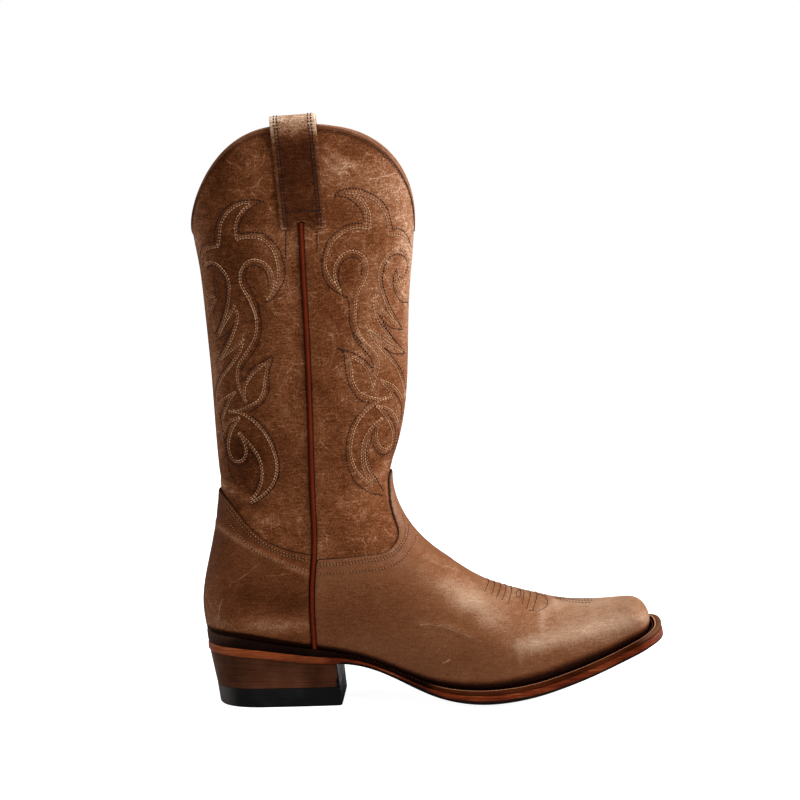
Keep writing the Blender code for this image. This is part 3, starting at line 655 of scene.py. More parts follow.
scratch = {
    "bendScale": 180.0,
    "bendDetail": 2.0,
    "bend": 4.0,  # twice as far as a line strays to either side
}


def scratchGroup():
    # how near a place of the outer side is to a line of the side view, a little wavy
    inputs = {"FromX": 0.0, "FromZ": 0.0, "RunX": 0.01, "RunZ": 0.0, "Half": 0.001}
    tree, given, made = newGroup("scratch", inputs, ("Mask",))
    reach = scratch["bend"] * mm
    moved = bentPlace(tree, scratch["bendScale"], scratch["bendDetail"], (reach, 0.0, reach))
    x, y, z = addNode(tree, "ShaderNodeSeparateXYZ", {0: moved}).outputs
    x, z = calc(tree, "SUBTRACT", x, given["FromX"]), calc(tree, "SUBTRACT", z, given["FromZ"])

    def dot(a, b, c, d):
        return calc(tree, "MULTIPLY_ADD", a, b, calc(tree, "MULTIPLY", c, d))

    runX, runZ = given["RunX"], given["RunZ"]
    share = calc(tree, "DIVIDE", dot(x, runX, z, runZ), dot(runX, runX, runZ, runZ), clamp=True)
    offX, offZ = (calc(tree, "SUBTRACT", a, calc(tree, "MULTIPLY", share, b)) for a, b in ((x, runX), (z, runZ)))
    near = fade(tree, calc(tree, "SQRT", dot(offX, offX, offZ, offZ)), 0.0, given["Half"])
    tree.links.new(calc(tree, "MULTIPLY", near, calc(tree, "LESS_THAN", y, 0.0)), made["Mask"])
    return tree


cutEdge = {
    # long and short streaks: how far each noise is drawn out, then scale, detail and roughness
    "long": ((28.0, 28.0, 900.0), (1.0, 3.0, 0.6)),
    "short": ((160.0, 160.0, 1500.0), (1.0, 2.0, 0.6)),
    "broad": (45.0, 2.0),
    "shortHeight": 0.5,
    "shine": 0.3,
}


def cutEdgeGroup():
    # streaks of pressed leather along an edge: noise drawn out along the sole and fine through its layers
    tree, given, made = newGroup("cutEdge", {"Streaks": 0.5, "Marks": 0.3}, ("Shade", "Height"))
    long, short = (noise(tree, scaledPlace(tree, drawn), *kind) for drawn, kind in (cutEdge["long"], cutEdge["short"]))
    broad = noise(tree, objectPlace(tree), *cutEdge["broad"])
    shade = total(tree, broad, (long, 0.5, given["Streaks"]), (short, 0.5, given["Marks"]))
    tree.links.new(shade, made["Shade"])
    tree.links.new(calc(tree, "MULTIPLY_ADD", short, cutEdge["shortHeight"], long), made["Height"])
    return tree


groups = {"wornLeather": wornLeatherGroup(), "scratch": scratchGroup(), "cutEdge": cutEdgeGroup()}


def ramp(tree, value, stops):
    # colours along a value, straight between the stops
    node = addNode(tree, "ShaderNodeValToRGB", {0: value})
    while len(node.color_ramp.elements) < len(stops):
        node.color_ramp.elements.new(1.0)
    for element, (place, colour) in zip(node.color_ramp.elements, stops):
        element.position, element.color = place, (*colour, 1)
    return node.outputs["Color"]


def mixed(tree, share, first, second):
    links = {0: share, 6: first, 7: second if isinstance(second, bpy.types.NodeSocket) else (*second, 1)}
    return addNode(tree, "ShaderNodeMix", links, data_type="RGBA").outputs[2]


def mark(tree, name):
    return addNode(tree, "ShaderNodeAttribute", attribute_name=name).outputs["Fac"]


def endFinish(tree, shader, colour, roughness, height, look):
    # the shader's own sockets, with a bump from a height
    links = {"Height": height, "Strength": look["bump"], "Distance": look["bumpDepth"] * mm}
    normal = addNode(tree, "ShaderNodeBump", links).outputs["Normal"]
    setSockets(tree, shader, {"Base Color": colour, "Roughness": roughness, "Normal": normal,
                              "Specular IOR Level": look["gloss"]})


# colour and strength of the painted shadow lines beside seams, and of dark cut edges with painted shadow
dyedEdgeAndShadowLine = {"colour": (0.012, 0.004, 0.002), "depth": 0.9}


def leatherFinish(name, look):
    # worn leather: shade to colour, with a dark cut edge under painted shadow and painted shadow lines along a seam
    # where the piece has them
    material, tree, shader = newFinish(name)
    links = {key: look[key.lower()] for key in ("Mottle", "Speckle", "Cracks", "Shine")}
    links["Tone"] = mark(tree, "tone")
    worn = addNode(tree, "ShaderNodeGroup", links, node_tree=groups["wornLeather"])
    shade = worn.outputs["Shade"]
    bent = scratch["bend"] / 2
    for fromX, fromZ, toX, toZ, half, lighter in look.get("scratches", ()):
        links = {"FromX": (fromX - last["middle"][0] + bent) * mm, "FromZ": (fromZ + bent) * mm,
                 "RunX": (toX - fromX) * mm, "RunZ": (toZ - fromZ) * mm, "Half": half * mm}
        line = addNode(tree, "ShaderNodeGroup", links, node_tree=groups["scratch"])
        shade = calc(tree, "MULTIPLY_ADD", line.outputs["Mask"], lighter, shade)
    colour = ramp(tree, shade, look["colours"])
    # painted shadow lines beside the piping's seam, and a dark cut edge with painted shadow at an overlay's top
    for edge, reach in look.get("dyedEdgeAndShadowLines", {}).items():
        line = calc(tree, "MULTIPLY", fade(tree, mark(tree, edge), *reach), dyedEdgeAndShadowLine["depth"])
        colour = mixed(tree, line, colour, dyedEdgeAndShadowLine["colour"])
    endFinish(tree, shader, colour, worn.outputs["Roughness"], worn.outputs["Height"], look)
    return material


leathers = {
    # colours from the darkest shade to the lightest, the lightest also colouring the painted highlights and the darkest
    # the painted shade, how strongly each effect shows
    "shaftLeather": {
        "colours": ((0.0, (0.02, 0.0045, 0.0012)), (0.3, (0.076, 0.0212, 0.0064)), (0.55, (0.159, 0.0535, 0.0197)),
                    (0.8, (0.302, 0.146, 0.08)), (1.0, (0.54, 0.36, 0.25))),
        "mottle": 0.3, "speckle": 0.75, "cracks": 0.2, "shine": 0.5, "bump": 0.35, "bumpDepth": 0.4, "gloss": 0.01,
        "dyedEdgeAndShadowLines": {"seam": (0.25, 0.9)},
        # each scratch from place to place in the side view, half its width, how much lighter
        "scratches": ((-39.6, 224.5, -58.3, 216.2, 0.55, 0.25), (-67.1, 170.5, -54.1, 157.5, 0.6, 0.22),
                      (-96.8, 178.8, -85.3, 182.5, 0.5, 0.22), (-105.4, 187.7, -98.1, 178.8, 0.5, 0.2),
                      (-118.5, 347.4, -109.8, 342.2, 0.6, 0.22), (-95.9, 343.5, -93.0, 354.5, 0.5, 0.2),
                      (-30.2, 332.0, -14.3, 335.6, 0.6, 0.22), (-88.1, 261.4, -77.9, 266.1, 0.5, 0.2)),
    },
    "vampLeather": {
        "colours": ((0.0, (0.014, 0.0035, 0.0012)), (0.3, (0.083, 0.0215, 0.006)), (0.55, (0.173, 0.0655, 0.0265)),
                    (0.8, (0.345, 0.211, 0.133)), (1.0, (0.58, 0.435, 0.33))),
        "mottle": 0.08, "speckle": 0.36, "cracks": 0.04, "shine": 0.46, "bump": 0.22, "bumpDepth": 0.35, "gloss": 0.06,
        # a dark cut edge with painted shadow along the top edge
        "dyedEdgeAndShadowLines": {"edge": (0.15, 0.6)},
        "scratches": ((-1.5, 90.0, 14.1, 83.3, 0.5, 0.1), (-8.0, 53.1, 3.9, 53.1, 0.5, 0.13),
                      (3.9, 53.1, 22.6, 45.6, 0.5, 0.1), (5.4, 29.4, 9.2, 30.5, 0.9, 0.24),
                      (-34.4, 79.1, -28.2, 73.3, 0.4, 0.14), (-6.0, 49.0, 12.0, 46.0, 0.4, 0.12)),
    },
    "counterLeather": {
        "colours": ((0.0, (0.01, 0.0028, 0.001)), (0.3, (0.066, 0.0188, 0.0057)), (0.55, (0.14, 0.0455, 0.0172)),
                    (0.8, (0.28, 0.137, 0.074)), (1.0, (0.5, 0.325, 0.22))),
        "mottle": 0.17, "speckle": 0.5, "cracks": 0.09, "shine": 0.46, "bump": 0.28, "bumpDepth": 0.35, "gloss": 0.01,
        # a dark cut edge with painted shadow along the top edge
        "dyedEdgeAndShadowLines": {"edge": (0.15, 0.6)},
        "scratches": ((-128.1, 80.2, -110.1, 92.5, 0.5, 0.25), (-136.6, 58.7, -133.2, 71.5, 0.6, 0.25),
                      (-103.5, 86.4, -88.3, 87.3, 0.8, 0.16), (-126.0, 74.0, -121.0, 84.0, 0.4, 0.16)),
    },
    "strapLeather": {
        "colours": ((0.0, (0.012, 0.003, 0.001)), (0.3, (0.042, 0.0102, 0.0028)), (0.55, (0.115, 0.037, 0.0135)),
                    (0.8, (0.36, 0.2, 0.115)), (1.0, (0.68, 0.52, 0.41))),
        "mottle": 0.26, "speckle": 0.6, "cracks": 0.1, "shine": 0.48, "bump": 0.3, "bumpDepth": 0.35, "gloss": 0.03,
    },
    "bindingLeather": {
        "colours": ((0.0, (0.02, 0.005, 0.002)), (0.4, (0.09, 0.028, 0.01)), (0.7, (0.21, 0.08, 0.034)),
                    (1.0, (0.44, 0.23, 0.125))),
        "mottle": 0.2, "speckle": 0.5, "cracks": 0.05, "shine": 0.45, "bump": 0.3, "bumpDepth": 0.3, "gloss": 0.15,
    },
    "pipingLeather": {
        "colours": ((0.0, (0.015, 0.0015, 0.0003)), (0.4, (0.06, 0.006, 0.0008)), (0.7, (0.105, 0.0125, 0.002)),
                    (1.0, (0.2, 0.038, 0.01))),
        "mottle": 0.22, "speckle": 0.25, "cracks": 0.0, "shine": 0.42, "bump": 0.2, "bumpDepth": 0.25, "gloss": 0.06,
    },
    "liningLeather": {
        "colours": ((0.0, (0.1, 0.055, 0.025)), (0.4, (0.26, 0.16, 0.085)), (0.7, (0.38, 0.26, 0.15)),
                    (1.0, (0.52, 0.39, 0.25))),
        "mottle": 0.2, "speckle": 0.25, "cracks": 0.04, "shine": 0.7, "bump": 0.2, "bumpDepth": 0.3, "gloss": 0.15,
    },
    "randLeather": {
        "colours": ((0.0, (0.003, 0.001, 0.0007)), (0.5, (0.013, 0.0052, 0.003)), (1.0, (0.06, 0.028, 0.018))),
        "mottle": 0.25, "speckle": 0.35, "cracks": 0.0, "shine": 0.4, "bump": 0.2, "bumpDepth": 0.2, "gloss": 0.01,
    },
}


def edgeFinish(name, look):
    # a cut and polished edge: streaks for colour, then bands by the level that is kept on its points
    material, tree, shader = newFinish(name)
    links = {"Streaks": look["streaks"], "Marks": look["marks"]}
    cut = addNode(tree, "ShaderNodeGroup", links, node_tree=groups["cutEdge"])
    colour = ramp(tree, cut.outputs["Shade"], look["colours"])
    if "warm" in look:
        colour = mixed(tree, mark(tree, "warm"), colour, ramp(tree, cut.outputs["Shade"], look["warm"]))
    for band, (reach, depth, tint) in look.get("bands", {}).items():
        colour = mixed(tree, calc(tree, "MULTIPLY", fade(tree, mark(tree, band), *reach), depth), colour, tint)
    roughness = total(tree, look["shine"], (cut.outputs["Shade"], 0.5, cutEdge["shine"]))
    endFinish(tree, shader, colour, roughness, cut.outputs["Height"], look)
    return material


edges = {
    # bands: where each mark on the points makes its colour full and where that ends, how strong, which colour
    "weltLeather": {
        "colours": ((0.2, (0.011, 0.0025, 0.0008)), (0.5, (0.037, 0.0078, 0.0025)), (0.8, (0.075, 0.0165, 0.0055))),
        # groove: the welt's top painted near black, a painted shadow under the upper
        "bands": {"groove": ((0.5, 1.0), 0.95, (0.0035, 0.0013, 0.0008)),
                  "tip": ((0.0, 0.9), 0.8, (0.13, 0.057, 0.031)),
                  "rim": ((0.1, 0.8), 0.9, (0.5, 0.23, 0.12))},
        "streaks": 0.5, "marks": 0.4, "shine": 0.42, "bump": 0.25, "bumpDepth": 0.25, "gloss": 0.0,
    },
    "soleLeather": {
        "colours": ((0.15, (0.014, 0.003, 0.001)), (0.45, (0.078, 0.0108, 0.0024)), (0.65, (0.14, 0.0215, 0.0054)),
                    (0.9, (0.25, 0.07, 0.025))),
        "warm": ((0.15, (0.09, 0.02, 0.005)), (0.5, (0.225, 0.051, 0.0145)), (0.9, (0.34, 0.1, 0.038))),
        "bands": {"black": ((0.35, 0.6), 0.96, (0.004, 0.003, 0.003))},
        "streaks": 0.9, "marks": 0.6, "shine": 0.4, "bump": 0.25, "bumpDepth": 0.25, "gloss": 0.04,
    },
    "heelLeather": {
        "colours": ((0.15, (0.018, 0.0045, 0.0015)), (0.45, (0.055, 0.017, 0.0068)), (0.65, (0.081, 0.0268, 0.0122)),
                    (0.9, (0.14, 0.052, 0.025))),
        "bands": {"line": ((0.0, 0.5), 0.5, (0.01, 0.003, 0.002)),
                  "front": ((0.2, 0.9), 0.98, (0.004, 0.003, 0.003))},
        "streaks": 0.28, "marks": 0.4, "shine": 0.38, "bump": 0.2, "bumpDepth": 0.2, "gloss": 0.04,
    },
    "heelRubber": {
        "colours": ((0.2, (0.0015, 0.0015, 0.0015)), (0.55, (0.003, 0.0028, 0.003)), (0.9, (0.014, 0.013, 0.0125))),
        # back: paler grey towards the back, a painted highlight
        "bands": {"back": ((0.0, 1.0), 0.8, (0.085, 0.075, 0.07))},
        "streaks": 0.2, "marks": 0.5, "shine": 0.55, "bump": 0.35, "bumpDepth": 0.2, "gloss": 0.1,
    },
}


twist = {
    "turns": (1900.0, 1.0),  # noises: scale and detail
    "patches": (130.0, 2.0),
    "patchShare": 0.9,
    "shades": (0.2, 0.8),
    "bump": 0.3,
    "bumpDepth": 0.15,
    "roughness": 0.6,
    "gloss": 0.1,
}


def threadFinish(name, colours):
    # twisted thread: fine turns of two shades
    material, tree, shader = newFinish(name)
    turns, patches = (noise(tree, objectPlace(tree), *twist[kind]) for kind in ("turns", "patches"))
    shade = total(tree, turns, (patches, 0.5, twist["patchShare"]))
    colour = ramp(tree, shade, tuple(zip(twist["shades"], colours)))
    endFinish(tree, shader, colour, twist["roughness"], turns, twist)
    return material


threads = {
    "light": ((0.19, 0.085, 0.04), (0.58, 0.35, 0.21)),
    "rust": ((0.15, 0.055, 0.022), (0.45, 0.21, 0.098)),
    "dark": ((0.002, 0.0018, 0.002), (0.012, 0.009, 0.009)),
    # brown: dark partly as painted shade, for the welt row in its shadowed groove
    "brown": ((0.02, 0.007, 0.003), (0.07, 0.025, 0.011)),
}
finishes = {name: leatherFinish(name, look) for name, look in leathers.items()}
finishes.update({name: edgeFinish(name, look) for name, look in edges.items()})
finishes.update({name + "Thread": threadFinish(name + "Thread", colours) for name, colours in threads.items()})
print("finishes made:", len(finishes))

creases = {
    # line in the side view, half its width, how high it stands, how much its leather lightens
    "strapFoldOne": (((-56.2, 352.6), (-50.9, 346.9), (-45.0, 342.4), (-40.2, 340.4)), 2.6, 0.5, 0.2),
    "strapFoldTwo": (((-57.0, 345.3), (-52.3, 340.8), (-46.4, 337.5)), 2.2, 0.4, 0.15),
    "leftFold": (((-116.0, 347.3), (-111.1, 341.0), (-105.6, 337.1)), 2.0, 0.3, 0.1),
    "counterPull": (((-131.7, 143.0), (-122.4, 138.0), (-112.5, 134.2)), 2.4, 0.7, 0.3),
    "ankleFoldOne": (((-117.9, 128.3), (-109.5, 124.2), (-100.7, 121.1)), 2.4, 0.5, 0.2),
    "ankleFoldTwo": (((-116.1, 122.8), (-105.9, 117.3)), 2.0, 0.35, 0.08),
    "tonguePull": (((-38.7, 142.4), (-32.5, 145.2), (-27.4, 152.0)), 3.0, 0.5, 0.15),
    "instepFoldOne": (((-4.6, 91.6), (4.7, 87.8), (14.1, 82.6)), 2.4, 0.4, 0.08),
    "instepFoldTwo": (((-8.0, 53.1), (2.1, 53.1), (12.7, 50.5), (22.6, 45.6)), 2.2, 0.35, 0.08),
    "instepRidge": (((-4.7, 83.9), (10.8, 73.5), (29.4, 62.2)), 7.0, 0.5, 0.1),
    "ballFoldOne": (((67.9, 55.3), (67.5, 50.5), (68.4, 44.1)), 2.0, 0.35, 0.08),
    "ballFoldTwo": (((52.4, 39.6), (52.9, 34.6), (53.4, 28.1)), 2.2, 0.3, 0.08),
    "toeFold": (((67.6, 51.5), (72.4, 54.8), (77.9, 56.9)), 2.0, 0.3, 0.08),
    "counterRidge": (((-134.6, 116.2), (-117.9, 106.8), (-102.3, 98.4), (-78.5, 86.3)), 2.2, 0.55, 0.24),
}
creaseSteps = {
    "points": 13,
    "trough": 0.45,  # depth of the troughs, and how many half-widths from the ridge
    "troughAt": 1.7,
    "innerFrom": 24.0,  # across, where the inner side's own places are reached
    "innerShift": (7.0, -6.0),
    "innerShare": 0.8,
}


def lineDistance(x, z, line):
    best = np.full(np.shape(x), np.inf)
    for start, end in zip(line[:-1], line[1:]):
        run = end - start
        share = np.clip(((x - start[0]) * run[0] + (z - start[1]) * run[1]) / max(run @ run, 1e-9), 0, 1)
        best = np.minimum(best, np.hypot(x - start[0] - share * run[0], z - start[1] - share * run[1]))
    return best


def creaseField(points):
    # each crease is a rounded ridge between two shallow troughs; the inner side has them a little further on
    x, y, z = np.moveaxis(points, -1, 0)
    over = smooth(y / creaseSteps["innerFrom"])
    x = x - skew(y) * (y > 0) + over * creaseSteps["innerShift"][0]
    z = z + over * creaseSteps["innerShift"][1]
    keep = 1 - (1 - creaseSteps["innerShare"]) * over
    rise, light = np.zeros_like(x), np.zeros_like(x)
    for line, half, high, lighter in creases.values():
        away = lineDistance(x, z, curveOf(line)(np.linspace(0, 1, creaseSteps["points"]))) / half
        ridge = np.exp(-(away**2))
        trough = np.exp(-((away - creaseSteps["troughAt"]) ** 2))
        rise += keep * high * (ridge - creaseSteps["trough"] * trough)
        light += keep * lighter * ridge
    return rise, light


toneAndPaintedLight = {
    # level, then spots of painted highlight and shade: place in the side view, reach along and up, how much lighter or
    # darker
    "shaft": (0.43, ((-124, 330, 16, 60, -0.12), (-14, 330, 16, 60, 0.18), (-48, 338, 22, 16, 0.12),
                     (-75, 330, 20, 40, -0.06), (-112, 155, 18, 26, -0.29), (-57, 200, 20, 60, 0.01),
                     (-88, 215, 10, 60, 0.03), (-74, 298, 15, 12, 0.12), (-5, 250, 10, 90, 0.34),
                     (-142, 300, 7, 70, 0.2), (-133, 190, 6, 60, 0.16), (-85.5, 302.5, 3, 3, 0.16),
                     (-59, 302, 3, 3, 0.14), (-45, 110, 26, 10, 0.07), (-30, 250, 16, 60, 0.1),
                     (-50, 125, 24, 14, 0.06), (-113, 290, 12, 10, -0.1), (-104, 268, 7, 10, -0.1),
                     (-43, 275, 6, 8, -0.1), (-122, 178, 10, 20, -0.06), (-100, 120, 22, 8, 0.05))),
    "vamp": (0.5, ((-45, 60, 30, 20, -0.13), (10, 30, 40, 12, -0.05), (100, 47, 42, 12, 0.13),
                   (-66, 50, 10, 30, -0.04), (3, 84, 12, 8, -0.08), (8, 75.5, 10, 5, 0.06), (22, 66, 12, 7, 0.16),
                   (38, 54, 10, 6, 0.12), (57, 38, 10, 5, 0.18), (68, 39, 10, 5, 0.13), (80, 41, 10, 4, 0.12),
                   (93, 43.2, 10, 4, 0.12), (106, 45.6, 10, 4, 0.12), (119, 47.8, 10, 4, 0.11), (130, 50, 8, 4, 0.08),
                   (100, 56.5, 40, 3, 0.16), (105, 51.5, 30, 3, 0.04), (45, 63, 20, 4, 0.1), (-26, 120, 5, 20, 0.08))),
    "counter": (0.4, ((-113, 74, 12, 9, -0.14), (-91, 68, 10, 8, -0.12), (-138, 62, 10, 24, 0.22),
                      (-100, 54, 34, 6, 0.25))),
    # painted shadow, black above the welt: place along, how high it is full, how far it fades
    "weltShadow": ((-150, 5.6, 2.2), (-141, 5.6, 2.2), (-118, 4.6, 2.4), (-95, 2.0, 2.6), (-78, 1.2, 3.0), (-55, 0.9, 4.0),
                (-20, 0.8, 4.5), (30, 0.8, 6.0), (90, 1.0, 8.0), (130, 0.8, 6.0), (150, 0.8, 6.0)),
    "weltShadowDepth": 0.7,
}
weltShadowFull, weltShadowFade = (columnOf(toneAndPaintedLight["weltShadow"], i) for i in (1, 2))


def toneWithPaintedLight(points, kind, light=0.0):
    # leather tone with painted highlights, painted shade and the painted shadow above the welt
    level, paintedSpots = toneAndPaintedLight[kind]
    x, y, z = np.moveaxis(points, -1, 0)
    tone = level + light
    for along, up, reachX, reachZ, change in paintedSpots:
        tone = tone + change * np.exp(-(((x - along) / reachX) ** 2) - ((z - up) / reachZ) ** 2)
    # painted shadow above the welt, fading upwards
    above = (z - featherZ(x) - weltShadowFull(x)) / weltShadowFade(x)
    return tone - toneAndPaintedLight["weltShadowDepth"] * (1 - smooth(above))


shaft = {"legRows": 150, "fanRows": 22, "weltRows": 44, "ringPoints": 91}


def makeUpper():
    # the whole hollow wall: leather outside, lining inside, open at the collar and underneath
    levels = np.append(1, np.linspace(belowCollar(collar["bindingLeg"]), 0, shaft["legRows"], endpoint=False))
    points, normals, shut = skinGrid(levels, shaft["fanRows"], weltRows(shaft["weltRows"]), shaft["ringPoints"])
    rise, light = creaseField(points)
    x, y, z = np.moveaxis(points, -1, 0)
    # distance from the piping, where the painted shadow lines fall
    away = np.abs(x - seam["x"] - seamSway(z) - skew(y)) - piping["width"] / 2
    marks = {"tone": bothSkins(toneWithPaintedLight(points, "shaft", light)), "seam": bothSkins(away)}
    points = points + normals * rise[..., None]
    ids = gridIds(points.shape, shut)
    outer, inner = points.reshape(-1, 3), (points - wall * normals).reshape(-1, 3)
    whole, faces = walled(outer, inner, [gridFaces(ids)])
    lining = np.arange(len(whole)) >= len(outer)
    looks = [finishes["shaftLeather"], finishes["liningLeather"]]
    addPiece("boot_upper", whole, faces, looks, ["upper"], lining, marks)


surfaces = {}
overlay = {
    "thick": 1.3,
    "edge": 1.1,  # how far in its top edge is rounded, and what is left of its thickness there
    "edgeLift": 0.6,
    "tuck": 8.0,  # the same above the welt
    "tuckLeft": 0.15,
    "lowGap": 0.08,  # between its underside and the skin
    "swayReach": 14.0,  # how far from the side seam it follows the seam's bends
    "outside": 200.0,  # a place past the boot, to close its outline
    "levels": (0.03, 0.015),
    "weltRows": 150,
    "fanRows": 64,
    "ringPoints": 105,
    "linePoints": 161,
}
vamp = {
    # top edge from the side seam to the top of the tongue and out past the front
    "line": ((-74.0, 95.6), (-56.6, 96.1), (-40.5, 96.8), (-28.6, 97.9), (-24.9, 99.6), (-22.3, 102.2), (-20.4, 105.4),
             (-19.8, 109.1), (-21.0, 114.2), (-22.9, 120.5), (-24.4, 129.8), (-24.6, 137.0), (-24.0, 143.6),
             (-22.0, 147.5)),
}
counter = {
    # top edge from behind the back to the side seam
    "line": ((-141.0, 146.5), (-137.0, 143.4), (-132.9, 139.8), (-129.2, 136.2), (-124.9, 131.9), (-117.5, 122.8),
             (-110.5, 115.0), (-101.7, 107.9), (-87.9, 101.6), (-74.0, 98.2)),
}
piping = {
    "width": 2.8,
    "height": 1.9,
    "rise": 0.6,
    "base": 0.02,
    "power": 0.8,  # how full its round is
    "tone": (0.35, 0.3),  # at its foot, and how much lighter on top, a painted highlight
    "rows": 140,
    "points": 13,
}


def signedDistance(x, z, outline):
    # distance from points of the side view to a closed line, positive inside it
    a, b = outline, np.roll(outline, -1, axis=0)
    spot = np.stack([x, z], -1).reshape(-1, 2)
    best, crossings = np.full(len(spot), np.inf), np.zeros(len(spot), int)
    for start, end in zip(a, b):
        run = end - start
        share = np.clip((spot - start) @ run / max(run @ run, 1e-12), 0, 1)
        best = np.minimum(best, np.linalg.norm(spot - start - share[:, None] * run, axis=1))
        spans = (start[1] > spot[:, 1]) != (end[1] > spot[:, 1])
        rise = run[1] if abs(run[1]) > 1e-12 else 1e-12
        crossings += spans & (spot[:, 0] < start[0] + (spot[:, 1] - start[1]) / rise * run[0])
    return (best * np.where(crossings % 2, 1, -1)).reshape(np.shape(x))


def trimmed(points, normals, inside):
    # points nearest the outline slide along the grid onto it, each by the shortest way
    best = np.full(inside.shape, np.inf)
    newPoints, newNormals, depth = points.copy(), normals.copy(), inside.copy()
    for axis, way in ((0, 1), (0, -1), (1, 1), (1, -1)):
        other = np.roll(inside, -way, axis=axis)
        edge = [slice(None)] * 2
        edge[axis] = -1 if way > 0 else 0
        other[tuple(edge)] = inside[tuple(edge)]
        share = np.where(inside * other < 0, inside / np.where(inside == other, 1, inside - other), np.inf)
        slides = (np.abs(inside) <= np.abs(other)) & (share < best)
        part = np.where(slides, share, 0)[..., None]
        for new, old in ((newPoints, points), (newNormals, normals)):
            new[slides] = (old + part * (np.roll(old, -way, axis=axis) - old))[slides]
        best[slides] = share[slides]
        depth[slides] = 0
    return newPoints, unit(newNormals), depth


def facesInside(ids, depth):
    # whole faces inside an outline, and the halves of those that it cuts across a corner
    faces = gridFaces(ids)
    kept = gridFaces(np.where(depth >= 0, 1, 0))
    parts = [faces[kept.sum(axis=1) == 4]]
    for corner in range(4):
        cut = (kept.sum(axis=1) == 3) & (kept[:, corner] == 0)
        parts.append(np.delete(faces[cut], corner, axis=1))
    return parts


def makeOverlay(name, line, farX, kind):
    # one layer of leather on the skin inside its outline, its top edge skived down to the skin
    below = -overlay["outside"]
    outline = np.concatenate([line, [(farX, line[-1, 1]), (farX, below), (line[0, 0], below)]])
    rows = weltRows(overlay["weltRows"])
    points, normals, shut = skinGrid(overlay["levels"], overlay["fanRows"], rows, overlay["ringPoints"])
    x, z = points[..., 0] - skew(points[..., 1]), points[..., 2]
    sway = seamSway(z) * np.exp(-(((x - seam["x"]) / overlay["swayReach"]) ** 2))
    points, normals, depth = trimmed(points, normals, signedDistance(x - sway, z, outline))
    edge = overlay["edgeLift"] + (1 - overlay["edgeLift"]) * rounded(depth / overlay["edge"], 2)
    above = (points[..., 2] - featherZ(points[..., 0])) / overlay["tuck"]
    edge = edge * (overlay["tuckLeft"] + (1 - overlay["tuckLeft"]) * rounded(above, 2))
    rise, light = creaseField(points)
    marks = {"edge": bothSkins(depth), "tone": bothSkins(toneWithPaintedLight(points, kind, light))}
    top = points + normals * (rise + (gap + overlay["thick"]) * edge)[..., None]
    low = points + normals * (rise + overlay["lowGap"])[..., None]
    surfaces[kind] = top.reshape(-1, 3), normals.reshape(-1, 3)
    ids = gridIds(points.shape, shut)
    ids[-1] = ids[-1, 0]
    whole, faces = walled(top.reshape(-1, 3), low.reshape(-1, 3), facesInside(ids, depth))
    addPiece(name, whole, faces, [finishes[kind + "Leather"]], [kind], marks=marks)


def makeOverlays():
    share = np.linspace(0, 1, overlay["linePoints"])
    lines = {"vamp": curveOf(vamp["line"])(share), "counter": curveOf(counter["line"])(share)[::-1]}
    for (kind, line), way in zip(lines.items(), (1, -1)):
        line[0, 0] = seam["x"] + way * (piping["width"] / 2 + gap)
        makeOverlay("boot_" + kind, line, way * overlay["outside"], kind)


strap = {
    "thick": 1.6,
    "foot": 303.7,  # heights of its outer end and top
    "top": 373.6,
    "tilt": 0.04,
    "footX": -71.8,
    "lean": 4.3,
    "half": 14.2,
    "notch": 4.4,
    "notchHalf": 6.4,
    "corner": 1.6,  # how high its foot's corners are cut, how far in, and how far up both are felt
    "cornerReach": 2.0,
    "footReach": 12.0,
    "edge": 1.2,  # how far in its edges are rounded, and what is left of its thickness there
    "edgeLift": 0.35,
    "spread": 4.7,  # half the loop's width at the collar
    "spreadFrom": 346.0,
    "archFrom": 368.4,
    "archPower": 2.4,
    "insideFoot": 312.0,
    "insideGap": 1.0,
    "legRows": 44,
    "archRows": 40,
    "columns": 45,
    "tone": 0.3,  # level of its leather, and how much lighter its edges, its bend and its foot are, as painted highlights
    "rimHighlight": 0.2,
    "rimFrom": 0.58,
    "crownHighlight": 0.5,
    "crownFrom": 352.0,
    "footHighlight": 0.18,
    "footFade": 0.8,  # rows that it takes to fade
}


def strapPath():
    # middle of the strap's leather in section: how far out of the skin and how high, outside to inside
    middle = -wall / 2
    flat = gap + strap["thick"] / 2, -wall - strap["insideGap"] - strap["thick"] / 2
    legs = []
    for rest, foot, way in zip(flat, (strap["foot"], strap["insideFoot"]), (1, -1)):
        z = foot + (strap["archFrom"] - foot) * np.linspace(0, 1, strap["legRows"])
        spread = smooth((z - strap["spreadFrom"]) / (strap["archFrom"] - strap["spreadFrom"]))
        legs.append(np.stack([rest + (middle + way * strap["spread"] - rest) * spread, z], -1))
    turn = np.linspace(0, np.pi, strap["archRows"])[1:-1]
    power = 2 / strap["archPower"]
    rise = strap["top"] - strap["thick"] / 2 - strap["archFrom"]
    out = middle + strap["spread"] * np.sign(np.cos(turn)) * np.abs(np.cos(turn)) ** power
    arch = np.stack([out, strap["archFrom"] + rise * np.sin(turn) ** power], -1)
    return np.concatenate([legs[0], arch, legs[1][::-1]])


def strapPoint(path, lift, across, side):
    # a place on the strap: along its path, off the middle of its leather, across from its middle
    along = unit(np.gradient(path, axis=0))
    off = path + lift * np.stack([along[:, 1], -along[:, 0]], -1)
    up = (off[:, 1:] - strap["foot"]) / (strap["top"] - strap["foot"])
    notch = np.clip(1 - (across / strap["notchHalf"]) ** 2, 0, 1) ** 0.5
    corner = smooth((np.abs(across) - strap["half"] + strap["cornerReach"]) / strap["cornerReach"]) ** 2
    rise = strap["notch"] * notch + strap["corner"] * corner
    outerLeg = (np.arange(len(path)) < strap["legRows"])[:, None]
    nearFoot = outerLeg * np.clip(1 - (path[:, 1:] - path[0, 1]) / strap["footReach"], 0, 1)
    z = off[:, 1:] + nearFoot * rise + strap["tilt"] * up * across
    x = strap["footX"] + skew(side * seam["shaftHalf"]) - strap["lean"] * up + across
    return np.stack([x, skinY(x, z, side) + side * off[:, :1], z], -1)


